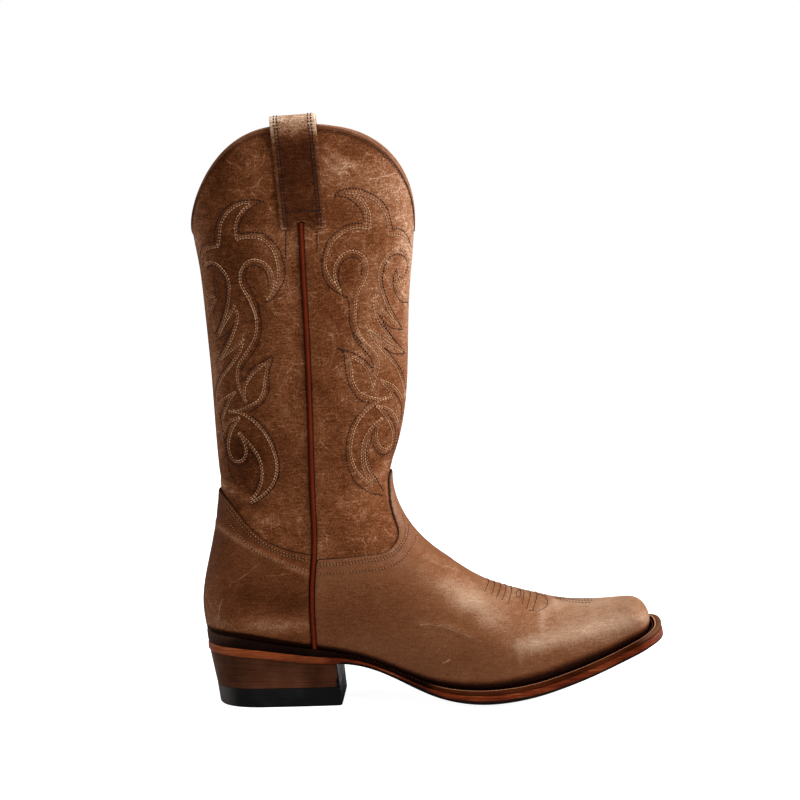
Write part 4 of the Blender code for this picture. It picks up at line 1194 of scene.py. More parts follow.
def makeStrap(name, side, node):
    # a band of leather over the collar, rounded along its edges, its outer foot notched over the piping
    path = strapPath()
    across = strap["half"] * np.sin(np.linspace(-0.5, 0.5, strap["columns"]) * np.pi)
    edge = rounded((strap["half"] - np.abs(across)) / strap["edge"], 2)
    full = strap["edgeLift"] + (1 - strap["edgeLift"]) * edge
    middle = strapPoint(path, 0, across, side)
    lifted = [strapPoint(path, way * strap["thick"] / 2, across, side) for way in (1, -1)]
    skins = [(middle + (skin - middle) * full[:, None]).reshape(-1, 3) for skin in lifted]
    whole, faces = walled(*skins, [gridFaces(gridIds(middle.shape))])
    # painted highlights on the strap's edges, on its bend over the collar and at its foot
    rim = smooth((np.abs(across) / strap["half"] - strap["rimFrom"]) / (1 - strap["rimFrom"]))
    crown = smooth((middle[..., 2] - strap["crownFrom"]) / (strap["top"] - strap["crownFrom"]))
    foot = np.exp(-np.arange(len(path)) / strap["footFade"])[:, None]
    tone = strap["tone"] + strap["rimHighlight"] * rim + strap["crownHighlight"] * crown + strap["footHighlight"] * foot
    marks = {"tone": bothSkins(tone)}
    addPiece(name, whole, faces, [finishes["strapLeather"]], [node], marks=marks)


def makePiping(name, side, node):
    # a half round carried up the side seam, from the sole to under the pull strap
    low = featherZ(seam["x"] + skew(side * seam["shaftHalf"])) + 2 * gap
    z = np.linspace(low, strap["foot"] + strap["notch"] - 3 * gap, piping["rows"])
    x = seam["x"] + seamSway(z) + skew(skinY(np.full_like(z, seam["x"]), z, side))
    spine = onSkin(x, z, side)
    out = sideNormal(x, z, side)
    over = unit(np.cross(unit(np.gradient(spine, axis=0)), out))
    turn = np.linspace(0, np.pi, piping["points"])
    across = piping["width"] / 2 * np.cos(turn)
    height = piping["base"] + (piping["height"] + piping["rise"]) * np.sin(turn) ** piping["power"]
    rings = spine[:, None] + over[:, None] * across[:, None] + out[:, None] * height[:, None]
    # painted highlight along the piping's top
    foot, lighter = piping["tone"]
    marks = {"tone": np.broadcast_to(foot + lighter * np.sin(turn), rings.shape[:2])}
    addPiece(name, rings, tubeFaces(rings.shape), [finishes["pipingLeather"]], [node], marks=marks)


def makeBinding():
    # a folded strip rolled over the collar's edge, round the whole scallop
    (top, below), (normals, _) = collarRings(collar["bindingLeg"])
    up = unit(top - below)
    leg = np.linalg.norm(top - below, axis=-1, keepdims=True)
    lip = gap + collar["bindingThick"]
    turn = np.linspace(0, np.pi, collar["bindingPoints"])
    middle, reach = -wall / 2, wall / 2 + lip
    out, rise = reach * np.cos(turn), reach * collar["bindingRise"] * np.sin(turn) ** collar["bindingPower"]
    # out of the skin, and up: in millimetres above the edge, in shares of the leg below it
    profile = [(lip * 0.8, -1.0), (lip, -0.8), *zip(middle + out, rise), (-wall - lip, -0.8), (-wall - lip * 0.8, -1.0),
               (-wall, -0.95), (-wall - 0.02, -0.1), (0.02, -0.1), (0.0, -0.95)]
    rings = np.stack([top + normals * o + up * (r * leg if r < 0 else r) for o, r in profile], axis=1)[:-1]
    ids = gridIds(rings.shape)
    ids = np.concatenate([ids, ids[:1]])
    faces = gridFaces(np.concatenate([ids, ids[:, :1]], axis=1))
    tone, lighter = collar["bindingToneAndHighlight"]
    # painted highlight on the binding's top
    shades = [tone + lighter * (level > 0) for _, level in profile]
    marks = {"tone": np.broadcast_to(shades, rings.shape[:2])}
    looks = [finishes["bindingLeather"]]
    addPiece("rolled_collar", rings, [faces], looks, ["collar_binding"], marks=marks)


makeUpper()
makeOverlays()
for place, side in (("outer", -1), ("inner", 1)):
    makePiping("side_piping_" + place, side, "piping_" + place)
    makeStrap("strap_loop_" + place, side, "pull_strap_" + place)
makeBinding()

sole = {
    # place along, how far the edge stands out of the skin, welt or rand and sole thickness, depth of the upright
    # edge, how far the bottom is cut in, how far its middle hangs
    "rows": ((-148, 1.6, 3.8, 5.2, 4.6, 0.4, 0.0), (-120, 2.6, 4.2, 5.2, 4.6, 0.4, 0.0),
             (-90, 2.8, 4.6, 4.9, 4.3, 0.4, 0.0), (-72, 2.7, 4.2, 4.4, 3.8, 0.6, 0.0),
             (-62, 2.6, 3.2, 4.0, 3.4, 1.0, 0.0),
             (-40, 2.4, 2.0, 3.8, 2.2, 4.0, 0.6), (-15, 3.6, 2.2, 4.4, 2.2, 4.0, 2.2),
             (10, 5.6, 2.6, 5.2, 4.0, 1.6, 3.4), (30, 6.4, 2.8, 5.6, 4.8, 0.8, 3.8),
             (60, 6.6, 2.8, 5.5, 4.7, 0.8, 3.4), (90, 6.8, 2.8, 5.4, 4.6, 0.8, 2.4),
             (125, 7.6, 2.8, 5.4, 4.6, 0.8, 1.4), (150, 10.4, 2.8, 6.4, 5.6, 0.8, 1.0)),
    "stripInset": 2.5,
    "insoleInset": 3.2,
    "insoleRise": 1.0,
    "insoleCup": 0.6,
    "insoleTone": (0.42, 0.15),  # of its middle, and how much darker at its sides
    "breast": -62.4,
    # place along and how high the rand's lip stands
    "lip": ((-150, 5.6), (-146, 4.8), (-142, 3.8), (-128, 2.8), (-112, 1.2), (-95, 0.2), (-78, 0.0), (-60, 0.0)),
    "rimFrom": -12.0,  # the welt shows a light line from here on, and how soon
    "rimReach": 22.0,
    "rimPlace": 4.6,  # how far that line is out of the skin, and at least in from the edge
    "rimRoom": 0.8,
    "topInset": 0.25,
    "edgeProfile": ((0.0, 0.06), (0.12, 0.3), (0.14, 0.6), (0.0, 1.0)),  # out, and share of the way down
    "tipOut": 1.1,  # how much further the toe's lower edge stands out, from where and how soon
    "tipFrom": 112.0,
    "tipReach": 26.0,
    "weltRows": 181,
    "across": 25,
}
soleTones = {
    "warmEnd": 14.0,  # the warm red over the heel fades from this far before the breast, and how soon
    "warmFade": 15.0,
    "warmLeast": 0.65,  # its share there, from where it grows towards the back and how soon
    "warmBack": (-80, 45),
    "warmTip": (0.15, 122, 18),  # its share at the toe, from where and how soon
    "warmUnder": 0.75,
    # black climbs the edge at the waist and the ball: how much, and along which stretch
    "waist": (0.6, (sole["breast"], 6, 10, 20)),
    "ball": (0.48, (0, 20, 85, 40)),
    "blackFrom": 3.0,  # the black is full from this far ahead of the breast, and how soon it fades behind
    "blackFade": 4.0,
    "groove": (0.7, 6, 22),  # how much wider the welt's black painted shadow grows towards the heel, from where and how soon
    "tip": (122, 16),  # where the welt's toe pales and how soon
    "rand": (0.3, 1.1, -112, 34),  # tone of the rand, how much lighter at the back as a painted highlight, from where and how soon
}
soleNames = ("stands", "strip", "thick", "edge", "under", "crown")
soleAt = {name: columnOf(sole["rows"], i + 1) for i, name in enumerate(soleNames)}
lipRise = columnOf(sole["lip"], 1)


def soleRows():
    x = weltRows(sole["weltRows"])
    x[np.argmin(np.abs(x - sole["breast"]))] = sole["breast"]
    return x


soleX = soleRows()


def seatZ(x):
    # height of the welt line, carried on ahead of the toe
    return featherZ(x) + last["toeLift"] * np.maximum(x - toeTip, 0)


def soleTop(x):
    return seatZ(x) - 2 * gap - soleAt["strip"](x)


def soleOutline(offset):
    # plan of the sole, heel to toe along each side, at an offset from the upper's skin
    sides = [np.stack([soleX, skinY(soleX, featherZ(soleX), side)], -1) for side in (-1, 1)]
    for plan in sides:
        plan[0, 1] = 0
        plan[-1, 1] = last["sections"][-1][-1]
    loop = np.concatenate([sides[0], sides[1][-2:0:-1]])
    along = unit(np.roll(loop, -1, axis=0) - np.roll(loop, 1, axis=0))
    loop = loop + np.stack([along[:, 1], -along[:, 0]], -1) * np.reshape(offset(loop[:, 0]), (-1, 1))
    count = len(soleX)
    return loop[:count], np.concatenate([loop[:1], loop[: count - 2: -1]])


def rungs(plan, shares):
    outer, inner = plan
    return outer[:, None] + shares[None, :, None] * (inner - outer)[:, None]


def withHeight(plan, z):
    return np.concatenate([plan, np.broadcast_to(z, plan.shape[:-1])[..., None]], -1)


def makeSole():
    # flat top, an upright edge slightly full, a bevel, and a bottom that hangs to the floor under the ball
    shares = np.linspace(0, 1, sole["across"])
    ends = np.array([0.0, 1.0])

    def edgeAt(out, drop):
        def offset(x):
            tip = smooth((x - sole["tipFrom"]) / sole["tipReach"])
            return soleAt["stands"](x) + out + sole["tipOut"] * drop * tip

        rim = rungs(soleOutline(offset), ends)
        return withHeight(rim, soleTop(rim[..., 0]) - drop * soleAt["edge"](rim[..., 0]))

    top = rungs(soleOutline(lambda x: soleAt["stands"](x) - sole["topInset"]), shares)
    top = withHeight(top, soleTop(top[..., 0]))
    rims = [edgeAt(out, drop) for out, drop in sole["edgeProfile"]]
    low = rungs(soleOutline(lambda x: soleAt["stands"](x) - soleAt["under"](x)), shares)
    hang = soleAt["crown"](low[..., 0]) * (1 - (2 * shares - 1) ** 2)
    low = withHeight(low, np.maximum(soleTop(low[..., 0]) - soleAt["thick"](low[..., 0]) - hang, 0))
    inner = np.stack([rim[:, 1] for rim in rims], axis=1)
    outer = np.stack([rim[:, 0] for rim in rims[::-1]], axis=1)
    rings = np.concatenate([top, inner, low[:, ::-1], outer], axis=1)
    marks = soleMarks(rings[..., 0], np.arange(rings.shape[1]) - top.shape[1] - len(rims) + 1, len(shares))
    looks = [finishes["soleLeather"]]
    addPiece("leather_sole", rings, tubeFaces(rings.shape, False), looks, ["outsole"], marks=marks)


def soleMarks(x, under, count):
    # under counts a ring's points from its lower inner edge, along the bottom, to its lower outer edge
    warm = 1 - smooth((x - sole["breast"] + soleTones["warmEnd"]) / soleTones["warmFade"])
    start, reach = soleTones["warmBack"]
    warm *= soleTones["warmLeast"] + (1 - soleTones["warmLeast"]) * smooth((start - x) / reach)
    share, start, reach = soleTones["warmTip"]
    warm += share * smooth((x - start) / reach)
    warm[:, (under > 1) & (under < count)] = soleTones["warmUnder"]
    black = np.ones(x.shape)
    black[:, np.isin(under, (0, 1, count, count + 1))] = 0
    beside = np.isin(under, (-1, count + 2))
    waist, ball = (share * between(x, *stretch) for share, stretch in (soleTones["waist"], soleTones["ball"]))
    black[:, beside] = 1 - np.maximum(waist, ball)[:, beside]
    behind = smooth((sole["breast"] + soleTones["blackFrom"] - x) / soleTones["blackFade"])
    return {"black": np.maximum(black, behind), "warm": warm}


def makeInsole():
    shares = np.linspace(0, 1, sole["across"])
    off = 2 * shares - 1
    plan = rungs(soleOutline(lambda x: np.full_like(x, -sole["insoleInset"])), shares)
    cup = sole["insoleCup"] * off**4
    top = withHeight(plan, seatZ(plan[..., 0]) + sole["insoleRise"] + cup - sole["insoleCup"])
    low = withHeight(plan, soleTop(plan[..., 0]) + gap)
    rings = np.concatenate([top, low[:, ::-1]], axis=1)
    tone, darker = sole["insoleTone"]
    marks = {"tone": np.broadcast_to(tone - darker * np.abs(np.tile(off, 2)) ** 3, rings.shape[:2])}
    looks = [finishes["liningLeather"]]
    addPiece("sock_lining", rings, tubeFaces(rings.shape, False), looks, ["insole"], marks=marks)


def stripLoop(offset, roundToe):
    keep = soleX >= sole["breast"] if roundToe else soleX <= sole["breast"]
    outer, inner = (plan[keep] for plan in soleOutline(offset))
    loop = np.concatenate([outer, inner[-2::-1]] if roundToe else [inner[::-1], outer[1:]])
    loop[[0, -1], 0] = sole["breast"] + gap / 2 * (1 if roundToe else -1)
    return loop


def rimOut(x):
    # how far out of the skin the welt's light line runs
    return np.minimum(sole["rimPlace"], soleAt["stands"](x) - sole["rimRoom"])


def makeStrip(name, roundToe, profile, finish, node, marks):
    # welt or rand: a profile carried round the toe or the heel
    rings = []
    for inner, outer, level, lip in profile:

        def offset(x):
            stands, inset = soleAt["stands"](x), sole["stripInset"]
            rim = rimOut(x) if roundToe else stands
            return -inset + inner * (rim + inset) + outer * (stands - rim)

        loop = stripLoop(offset, roundToe)
        high = seatZ(loop[:, 0]) - gap + lip * lipRise(loop[:, 0])
        rings.append(withHeight(loop, high - (1 - level) * soleAt["strip"](loop[:, 0])))
    rings = np.stack(rings, axis=1)
    x = rings[..., 0]
    marks = {label: np.broadcast_to(values, x.shape) for label, values in marks.items()}
    if roundToe:
        # the painted shadow on the welt's top widens towards the heel
        lost, start, reach = soleTones["groove"]
        marks["groove"] = marks["groove"] * (1 - lost * smooth((start - x) / reach))
        marks["rim"] = 1 - (1 - marks["rim"]) * smooth((x - sole["rimFrom"]) / sole["rimReach"])
        start, reach = soleTones["tip"]
        marks["tip"] = 1 - marks["tip"] * smooth((x - start) / reach)
    else:
        # the rand's painted highlight grows towards the back
        least, more, start, reach = soleTones["rand"]
        marks["tone"] = marks["tone"] * (least + more * smooth((start - x) / reach))
    addPiece(name, rings, tubeFaces(rings.shape), [finish], [node], marks=marks)


# shares of the way to the light line and on to the edge, level, share of the lip
weltProfile = ((0, 0, 1, 0), (0.55, 0, 1, 0), (0.66, 0, 1, 0), (0.72, 0, 0.8, 0), (0.82, 0, 0.8, 0), (0.9, 0, 1, 0),
               (0.95, 0, 1, 0), (1, 0, 1, 0), (1, 0.1, 0.98, 0), (1, 0.2, 0.95, 0), (1, 0.5, 0.88, 0),
               (1, 0.85, 0.72, 0), (1, 1, 0.5, 0), (1, 1, 0.2, 0), (1, 0.97, 0, 0), (0.6, 0, 0, 0), (0.3, 0, 0, 0),
               (0, 0, 0, 0))
# groove marks the part of the welt's top painted black as shadow
weltMarks = {"groove": (0, 0, 0, 0, 0, 0, 0.6, 1, 1, 1, 1, 1, 1, 1, 1, 1, 1, 1),
             "rim": (1, 1, 1, 1, 1, 1, 1, 0, 0, 1, 1, 1, 1, 1, 1, 1, 1, 1),
             "tip": (0, 0, 0, 0, 0, 0, 0, 0, 0, 0.6, 1, 1, 0.8, 0.6, 0.4, 0, 0, 0)}
randProfile = ((0, 0, 1, 0), (0.5, 0, 1, 0), (0.66, 0, 0.98, 0), (0.76, 0, 1, 0.85), (0.92, 0, 1, 1),
               (1.08, 0, 0.97, 0.95), (1.14, 0, 0.8, 0.7), (1.08, 0, 0.4, 0.2), (1, 0, 0.1, 0), (0.97, 0, 0, 0),
               (0.4, 0, 0, 0), (0.2, 0, 0, 0), (0, 0, 0, 0))
# lighter on the lip's top and outer face, a painted highlight
randMarks = {"tone": (0, 0, 0, 0.4, 0.75, 0.8, 0.65, 0.55, 0.45, 0.4, 0.3, 0.2, 0.1)}

heel = {
    # level from top to bottom, drawn in at the sides, the back and the breast
    "rows": ((0.0, 0.4, 0.4, 0.0), (0.5, 1.0, 2.4, 0.8), (1.0, 1.6, 4.4, 1.6)),
    "capRows": ((0.0, 1.6, 4.4, 1.6), (1.0, 2.4, 6.0, 2.6)),
    "capHeight": 12.3,
    "bevel": 0.7,
    "levels": 26,
    "capLevels": 8,
    "across": 11,
    "lifts": 5,
    "groove": 0.16,
    "lineHalf": 0.016,
    "front": (0.4, 0.3),  # the breast's own colour starts this far behind it, and how soon
    "back": (-140.0, 17.0),  # the cap's paler back, a painted highlight, ends from this place on, and how soon
}


def heelLevel(rows, share, z, sunk=0.0):
    # plan of the heel at a level of its table, drawn in from the sole's own outline
    rows = np.asarray(rows)
    outer, inner = soleOutline(lambda x: soleAt["stands"](x) - soleAt["under"](x))
    keep = soleX <= sole["breast"]
    sides, back, breast = (np.interp(share, rows[:, 0], rows[:, i]) + sunk for i in (1, 2, 3))
    plan = rungs((outer[keep], inner[keep]), np.linspace(0, 1, heel["across"]))
    x, y = plan[..., 0], plan[..., 1]
    first, final = x.min(), x[-1].mean()
    along = (x - first) / (final - first)
    x = first + back + along * (sole["breast"] + breast - first - back)
    return withHeight(np.stack([x, y * (1 - sides / np.abs(y).max())], -1), z)


def stacked(name, levels, finish, node, line=()):
    # a solid through plans of the same grid, one above the other, closed by the first and last
    rings = np.stack([np.concatenate([p[:, 0], p[-1, 1:-1], p[:0:-1, -1]]) for p in levels])
    rows, across = levels[0].shape[:2]
    walls = gridIds(rings.shape)
    walls = gridFaces(np.concatenate([walls, walls[:, :1]], axis=1))
    ends = []
    for level, start in ((levels[0], 0), (levels[-1], (len(levels) - 1) * rings.shape[1])):
        ids = np.full((rows, across), -1)
        ring = start + np.arange(rings.shape[1])
        ids[:, 0], ids[-1, 1:-1] = ring[:rows], ring[rows: rows + across - 2]
        ids[:0:-1, -1] = ring[rows + across - 2:]
        ids[0] = ids[0, 0]
        ends.append((level, ids))
    points, faces = [rings.reshape(-1, 3)], [walls]
    count = rings.shape[0] * rings.shape[1]
    for (level, ids), flip in zip(ends, (1, -1)):
        new = ids < 0
        ids[new] = count + np.arange(new.sum())
        points.append(level[new])
        count += new.sum()
        faces.append(gridFaces(ids)[:, ::flip])
    points = np.concatenate(points)
    x = points[:, 0]
    behind, reach = heel["front"]
    marks = {"front": 1 - np.clip((x - sole["breast"] + behind) / reach, 0, 1)}
    # painted highlight on the cap's back
    start, reach = heel["back"]
    marks["back"] = smooth((x - start) / reach)
    if len(line):
        marks["line"] = np.ones(count)
        marks["line"][: rings.shape[0] * rings.shape[1]] = np.repeat(line, rings.shape[1])
    addPiece(name, points, faces, [finish], [node], marks=marks)


def makeHeel():
    # lifts of leather with a fine groove where two meet
    joints = np.linspace(0, 1, heel["lifts"] + 1)[1:-1]
    beside = np.concatenate([joints - heel["lineHalf"], joints, joints + heel["lineHalf"]])
    shares = np.unique(np.concatenate([np.linspace(0, 1, heel["levels"]), beside]))
    line = 1.0 - np.isin(shares, joints)
    levels = []
    for share, level in zip(shares, line):
        plan = heelLevel(heel["rows"], share, 0, heel["groove"] * (1 - level))
        top = soleTop(plan[..., 0]) - soleAt["thick"](plan[..., 0]) - gap
        plan[..., 2] = top + share * (heel["capHeight"] + gap - top)
        levels.append(plan)
    stacked("heel_block", levels, finishes["heelLeather"], "heel_stack", line)
    shares = np.linspace(0, 1, heel["capLevels"])
    levels = [heelLevel(heel["capRows"], share, heel["capHeight"] * (1 - share)) for share in shares]
    bevel = levels[-1].copy()
    middle = bevel[..., :2].mean(axis=(0, 1))
    levels[-1][..., 2] = heel["bevel"]
    bevel[..., :2] = middle + (bevel[..., :2] - middle) * (1 - heel["bevel"] / np.abs(bevel[..., 1]).max())
    stacked("heel_tip", [*levels, bevel], finishes["heelRubber"], "heel_cap")


makeSole()
makeInsole()
makeStrip("welt_strip", True, weltProfile, finishes["weltLeather"], "welt", weltMarks)
makeStrip("rand_strip", False, randProfile, finishes["randLeather"], "heel_rand", randMarks)
makeHeel()

panelLines = {
    # scrolls of both shaft panels in the side view; lines named Dark take the dark thread, the others the light one
    # with a rust row beside it
    "frontFlameOuterDark": ((-52.3, 323.3), (-48.9, 325.9), (-43.1, 327.3), (-37.4, 326.8), (-31.1, 324.3),
        (-25.5, 320.8), (-21.8, 316.7), (-19.5, 311.3), (-18.1, 304.1), (-17.3, 300.7)),
    "frontFlameOuterDark2": ((-17.3, 300.7), (-13.5, 300.8), (-9.8, 297.5), (-7.5, 291.9), (-6.3, 285.5)),
    "frontFlameOuterLight": ((-45.8, 324.5), (-40.1, 324.1), (-33.7, 322.4), (-28.7, 319.9), (-25, 315.9),
        (-22, 310.8), (-20.6, 305.5), (-20.6, 297.3)),
    "frontFlameOuterLight2": ((-20.6, 297.3), (-16.1, 297.2), (-11.8, 295.4), (-8.8, 290.8), (-7.1, 285.2)),
    "frontFlameInnerDark": ((-52.3, 323.3), (-47.2, 322.6), (-42.1, 320.2), (-38.4, 316.5), (-35.4, 311.5),
        (-34.6, 305.9)),
    "frontFlameInnerLight": ((-40.7, 323.5), (-36.3, 321.2), (-33, 316.9), (-31, 311.9), (-30.8, 306.7),
        (-30.8, 301.5)),
    "frontFlameInnerLightB": ((-38.9, 322), (-35.8, 318.9), (-33.5, 314.6), (-33.1, 309.4), (-33.3, 304.2)),
    "frontSweepDark": ((-35.2, 305.4), (-43.9, 305.3), (-50.8, 301.6), (-56.9, 296), (-60.1, 288.2), (-61.4, 279.4),
        (-59.8, 271.5), (-55.1, 265.4), (-46.6, 260)),
    "frontSweepLight": ((-31.2, 301.5), (-40.1, 302.8), (-47, 300.3), (-53, 295.8), (-57.2, 289.1), (-58.8, 281.3),
        (-57.1, 274.3), (-53.1, 268.2), (-48.9, 262.6)),
    "frontDropLight": ((-50.6, 264), (-53.9, 270.7), (-54.3, 277.2), (-52.1, 283.3), (-48.1, 287.4), (-43.3, 289.1),
        (-38.2, 287.6), (-34.5, 283.4), (-33.4, 278.8), (-34.3, 273), (-37, 267.2), (-39.8, 262.2), (-41.3, 255.7),
        (-41.9, 248.5), (-41.5, 241.3), (-38.8, 235.9), (-35.8, 230.4)),
    "frontDropDark": ((-49.1, 262.3), (-51.1, 269.3), (-51.5, 275.2), (-49.3, 280.9), (-46, 284.2), (-41.5, 284.8),
        (-38.1, 282.3), (-36.9, 278.4), (-37.8, 273.2)),
    "frontStemDark": ((-46.9, 261.2), (-45.7, 254.6), (-45.8, 246.1), (-44.8, 240.2), (-42.1, 235.4), (-39, 230.6)),
    "frontLoopLight": ((-16.9, 241.5), (-21.7, 249.6), (-24.6, 257.8), (-26.3, 263.2), (-27.2, 269.9),
        (-26.8, 275.1), (-25, 280.3), (-21.7, 284.6), (-17.7, 288.2), (-13.9, 289), (-10.3, 286.6), (-8.8, 282.1),
        (-8.9, 276.1), (-10.7, 271.3), (-13.4, 267.7), (-16, 266.6)),
    "frontLoopDark": ((-13.9, 237.6), (-18, 246.6), (-21.5, 254.9), (-23.8, 262.4), (-24.8, 269.7), (-23.9, 275.6),
        (-21.5, 281.3), (-17.9, 284.5), (-14, 285), (-10.5, 282), (-9.6, 277.5), (-11, 272.4), (-13.3, 270.3),
        (-15.6, 272.6), (-16.2, 276.9)),
    "frontCurlLight": ((-16.9, 273), (-16.5, 267.7), (-15.2, 262.6), (-13.1, 258.9), (-10.4, 257.4)),
    "frontCurlDark": ((-16.6, 275.6), (-18.5, 268.5), (-18, 263.2), (-16.3, 258.4), (-13.3, 254.6), (-10.5, 254)),
    "frontTipLight": ((-29.6, 261.5), (-28.8, 256.2), (-25.2, 251.3), (-21.5, 246), (-16.9, 240.8)),
    "frontTipLightB": ((-30.8, 259.6), (-30.9, 255.7), (-30.3, 249.7), (-28.6, 244), (-25.6, 238.1),
        (-21.7, 232.1)),
    "frontTipDark": ((-28.7, 249.6), (-25.1, 244), (-20.8, 239.6), (-13.9, 237.3)),
    "frontTipDarkB": ((-25.7, 244.1), (-22.2, 237.1), (-17.4, 229.2)),
    "frontTipTwo": ((-34.6, 239.2), (-30.5, 236.9), (-24.9, 232.6), (-19.9, 228.5)),
    "frontLongLight": ((-36.9, 243), (-34.4, 239.1), (-32.6, 234.2), (-28.9, 227.8), (-23.9, 221.2), (-19.5, 215.1),
        (-16.5, 207.7), (-14.8, 200.2), (-14.7, 192.3)),
    "frontLongDark": ((-24.3, 226.7), (-20, 220), (-16.3, 213.2), (-14.1, 204.2), (-13.7, 196.1), (-14.5, 188.3)),
    "frontSplitLight": ((-33.1, 239), (-28.7, 234.5), (-23.6, 229.3), (-18.5, 225.8), (-14.3, 222.7)),
    "frontSplitDark": ((-28.3, 243.8), (-23.3, 238.2), (-19.5, 232.3), (-15.2, 226.1), (-12.8, 221.7)),
    "frontSplitDarkB": ((-25.6, 227.2), (-20.5, 223.3), (-13.4, 221.8)),
    "frontStemLight": ((-41.4, 238.9), (-38.6, 234), (-34.1, 228.9), (-30.4, 223.8), (-28.9, 218.9), (-29.8, 211.5),
        (-31.7, 206.2), (-34.2, 200.2)),
    "frontStemDarkB": ((-44, 238.4), (-43.2, 235), (-39.4, 229.3), (-35, 223.6), (-32.6, 217.9), (-32.8, 212.5)),
    "frontLeafDark": ((-35.5, 194.1), (-40.1, 195.2), (-44.5, 199.7), (-47.6, 206), (-49, 212.9), (-49.7, 220.5),
        (-51.4, 227.3), (-54, 229.2), (-50.1, 227.6), (-44.9, 225.6), (-39.7, 222.5), (-35.8, 218.9), (-33, 215.2)),
    "frontLeafLight": ((-33.4, 203.9), (-34.9, 209.9), (-37.9, 216.3), (-41.7, 220.3), (-45.7, 221.9),
        (-45.4, 216.1), (-45.1, 210), (-43.1, 203.7), (-39.2, 199.3), (-34, 197), (-28.1, 195.5), (-22.2, 196)),
    "frontHookLight": ((-15.7, 193.7), (-18.7, 200.4), (-23.2, 204.6), (-28.4, 206.9), (-24.6, 201.3),
        (-22.2, 196.8), (-20.7, 191), (-19.4, 183.6), (-19.2, 177.8)),
    "frontHookDark": ((-20.8, 199), (-17.7, 193.2), (-16.4, 187.1), (-17.2, 179.3)),
    "frontScrollLight": ((-22.2, 196), (-27.5, 194.6), (-32.9, 191.7), (-37.7, 188), (-42.6, 182.2), (-45.5, 176.2),
        (-47.3, 169.5), (-47.9, 161.1), (-45.9, 152.5), (-41.6, 145.7), (-35.8, 139.3)),
    "frontScrollDark": ((-35.5, 194), (-40.3, 189), (-45.2, 183.2), (-48.9, 175.9), (-50.9, 167.7), (-51.3, 159.3),
        (-49.4, 149.3), (-44.4, 141.1), (-37.3, 135.4), (-29.8, 132.4)),
    "frontCrescentLight": ((-28, 183.1), (-32.7, 180), (-36.9, 175.5), (-40.1, 170.3), (-41.8, 162.7),
        (-42.1, 155.6), (-40.8, 149.1), (-36.1, 141.3)),
    "frontCrescentLightB": ((-37.5, 170.3), (-39.4, 163.8), (-39.7, 156.8), (-38.1, 150.2), (-33.4, 142)),
    "frontCrescentDark": ((-34.6, 173.9), (-35.9, 169.1), (-38.1, 164.4), (-38.5, 158.1), (-37.2, 151.5),
        (-33.7, 143.8), (-29.4, 134.7)),
    "frontEyeLight": ((-28, 183.1), (-30.7, 178.4), (-31.7, 172.8), (-30.7, 166.3), (-27.6, 162.6), (-24.4, 163.7),
        (-22.7, 169.2), (-23.3, 175.8), (-26, 182.5), (-30.4, 189.3), (-32.1, 191.1)),
    "frontEyeDark": ((-35.6, 168.4), (-32.8, 162.3), (-29.1, 158.8), (-25.1, 159.4), (-21.9, 164.5), (-20.8, 171.6),
        (-21.3, 178.3), (-24.6, 184.5)),
    "frontBackLight": ((-32.1, 191.1), (-27.7, 190.4), (-22.5, 186.9), (-19.5, 181.3), (-18.1, 174.4)),
    "frontBackDark": ((-22.1, 158), (-25.1, 147)),
    "backFlameOuterDark": ((-94.9, 321), (-99.8, 322.2), (-108.9, 322.2), (-115, 321.2), (-120.9, 317),
        (-125.4, 310.7), (-127.8, 304.8), (-128.6, 297.8)),
    "backFlameOuterLight": ((-104.4, 320.3), (-110.5, 319.7), (-115.7, 316.9), (-120, 313.1), (-122.8, 308.7),
        (-124.1, 303.7), (-124.8, 298.8), (-125.7, 294.3)),
    "backFlameOuterLight2": ((-125.8, 293.7), (-130.1, 293.1), (-134.7, 291.7), (-137.7, 288.2), (-138.9, 283.1),
        (-138.1, 278.1)),
    "backFlameOuterDark2": ((-128.6, 297.1), (-133.2, 296.3), (-137.4, 293.7), (-139.3, 288.7), (-140.2, 283)),
    "backFlameInnerDark": ((-94.9, 321), (-98.9, 320.6), (-103, 318), (-108.3, 312.8), (-111.5, 307.4),
        (-112, 302.5)),
    "backFlameInnerLight": ((-104.4, 319.9), (-109.1, 316.7), (-112.9, 311.9), (-114.7, 307), (-114.9, 302.6),
        (-114.2, 297.9)),
    "backSweepLight": ((-114.2, 297.5), (-109.9, 298.8), (-104.8, 298.9), (-99.8, 298.3), (-95.4, 295.7),
        (-92.1, 291.7), (-89.9, 286.2), (-88.9, 279.8), (-89.1, 273.9), (-91.1, 268.5), (-93.8, 264.1),
        (-96.7, 260)),
    "backSweepDark": ((-111.8, 302), (-104.7, 302.4), (-98.2, 301.7), (-92.3, 298.1), (-87.6, 291.6), (-85, 284.1),
        (-84.2, 278.2), (-85.5, 271.3), (-88.2, 266.5), (-93.4, 260.6), (-98, 259)),
    "backDropLight": ((-93.3, 265.1), (-91.5, 271), (-92.2, 277.4), (-94.6, 281.4), (-98.4, 284.5), (-103.4, 285.8),
        (-108.1, 284.4), (-111.8, 280.3), (-113.4, 274.8), (-112.4, 268.9), (-109.5, 263.4), (-106.7, 257.9),
        (-104.9, 252.4), (-104.1, 248.4)),
    "backDropDark": ((-95.1, 268.6), (-95.4, 275.5), (-97.4, 279), (-102.6, 282), (-106.4, 281.7), (-108.8, 278.3),
        (-109, 273.8), (-106.8, 267.8), (-104.5, 262.8), (-102.1, 257.8), (-100.9, 252.4)),
    "backStemLight": ((-108.3, 261.1), (-105.4, 254.3), (-104.1, 249.2), (-104.3, 242.5), (-105.4, 237.3),
        (-108.6, 231.6), (-113.2, 225.3), (-117.1, 219), (-118.2, 213.2), (-117.4, 206.4), (-115.5, 201.2),
        (-112.9, 196)),
    "backStemDark": ((-102.1, 257.4), (-100.6, 249.6), (-100.7, 241.9), (-102.4, 234.1), (-106.7, 227.4),
        (-111.8, 221.2), (-114.8, 215.9), (-114, 210.2)),
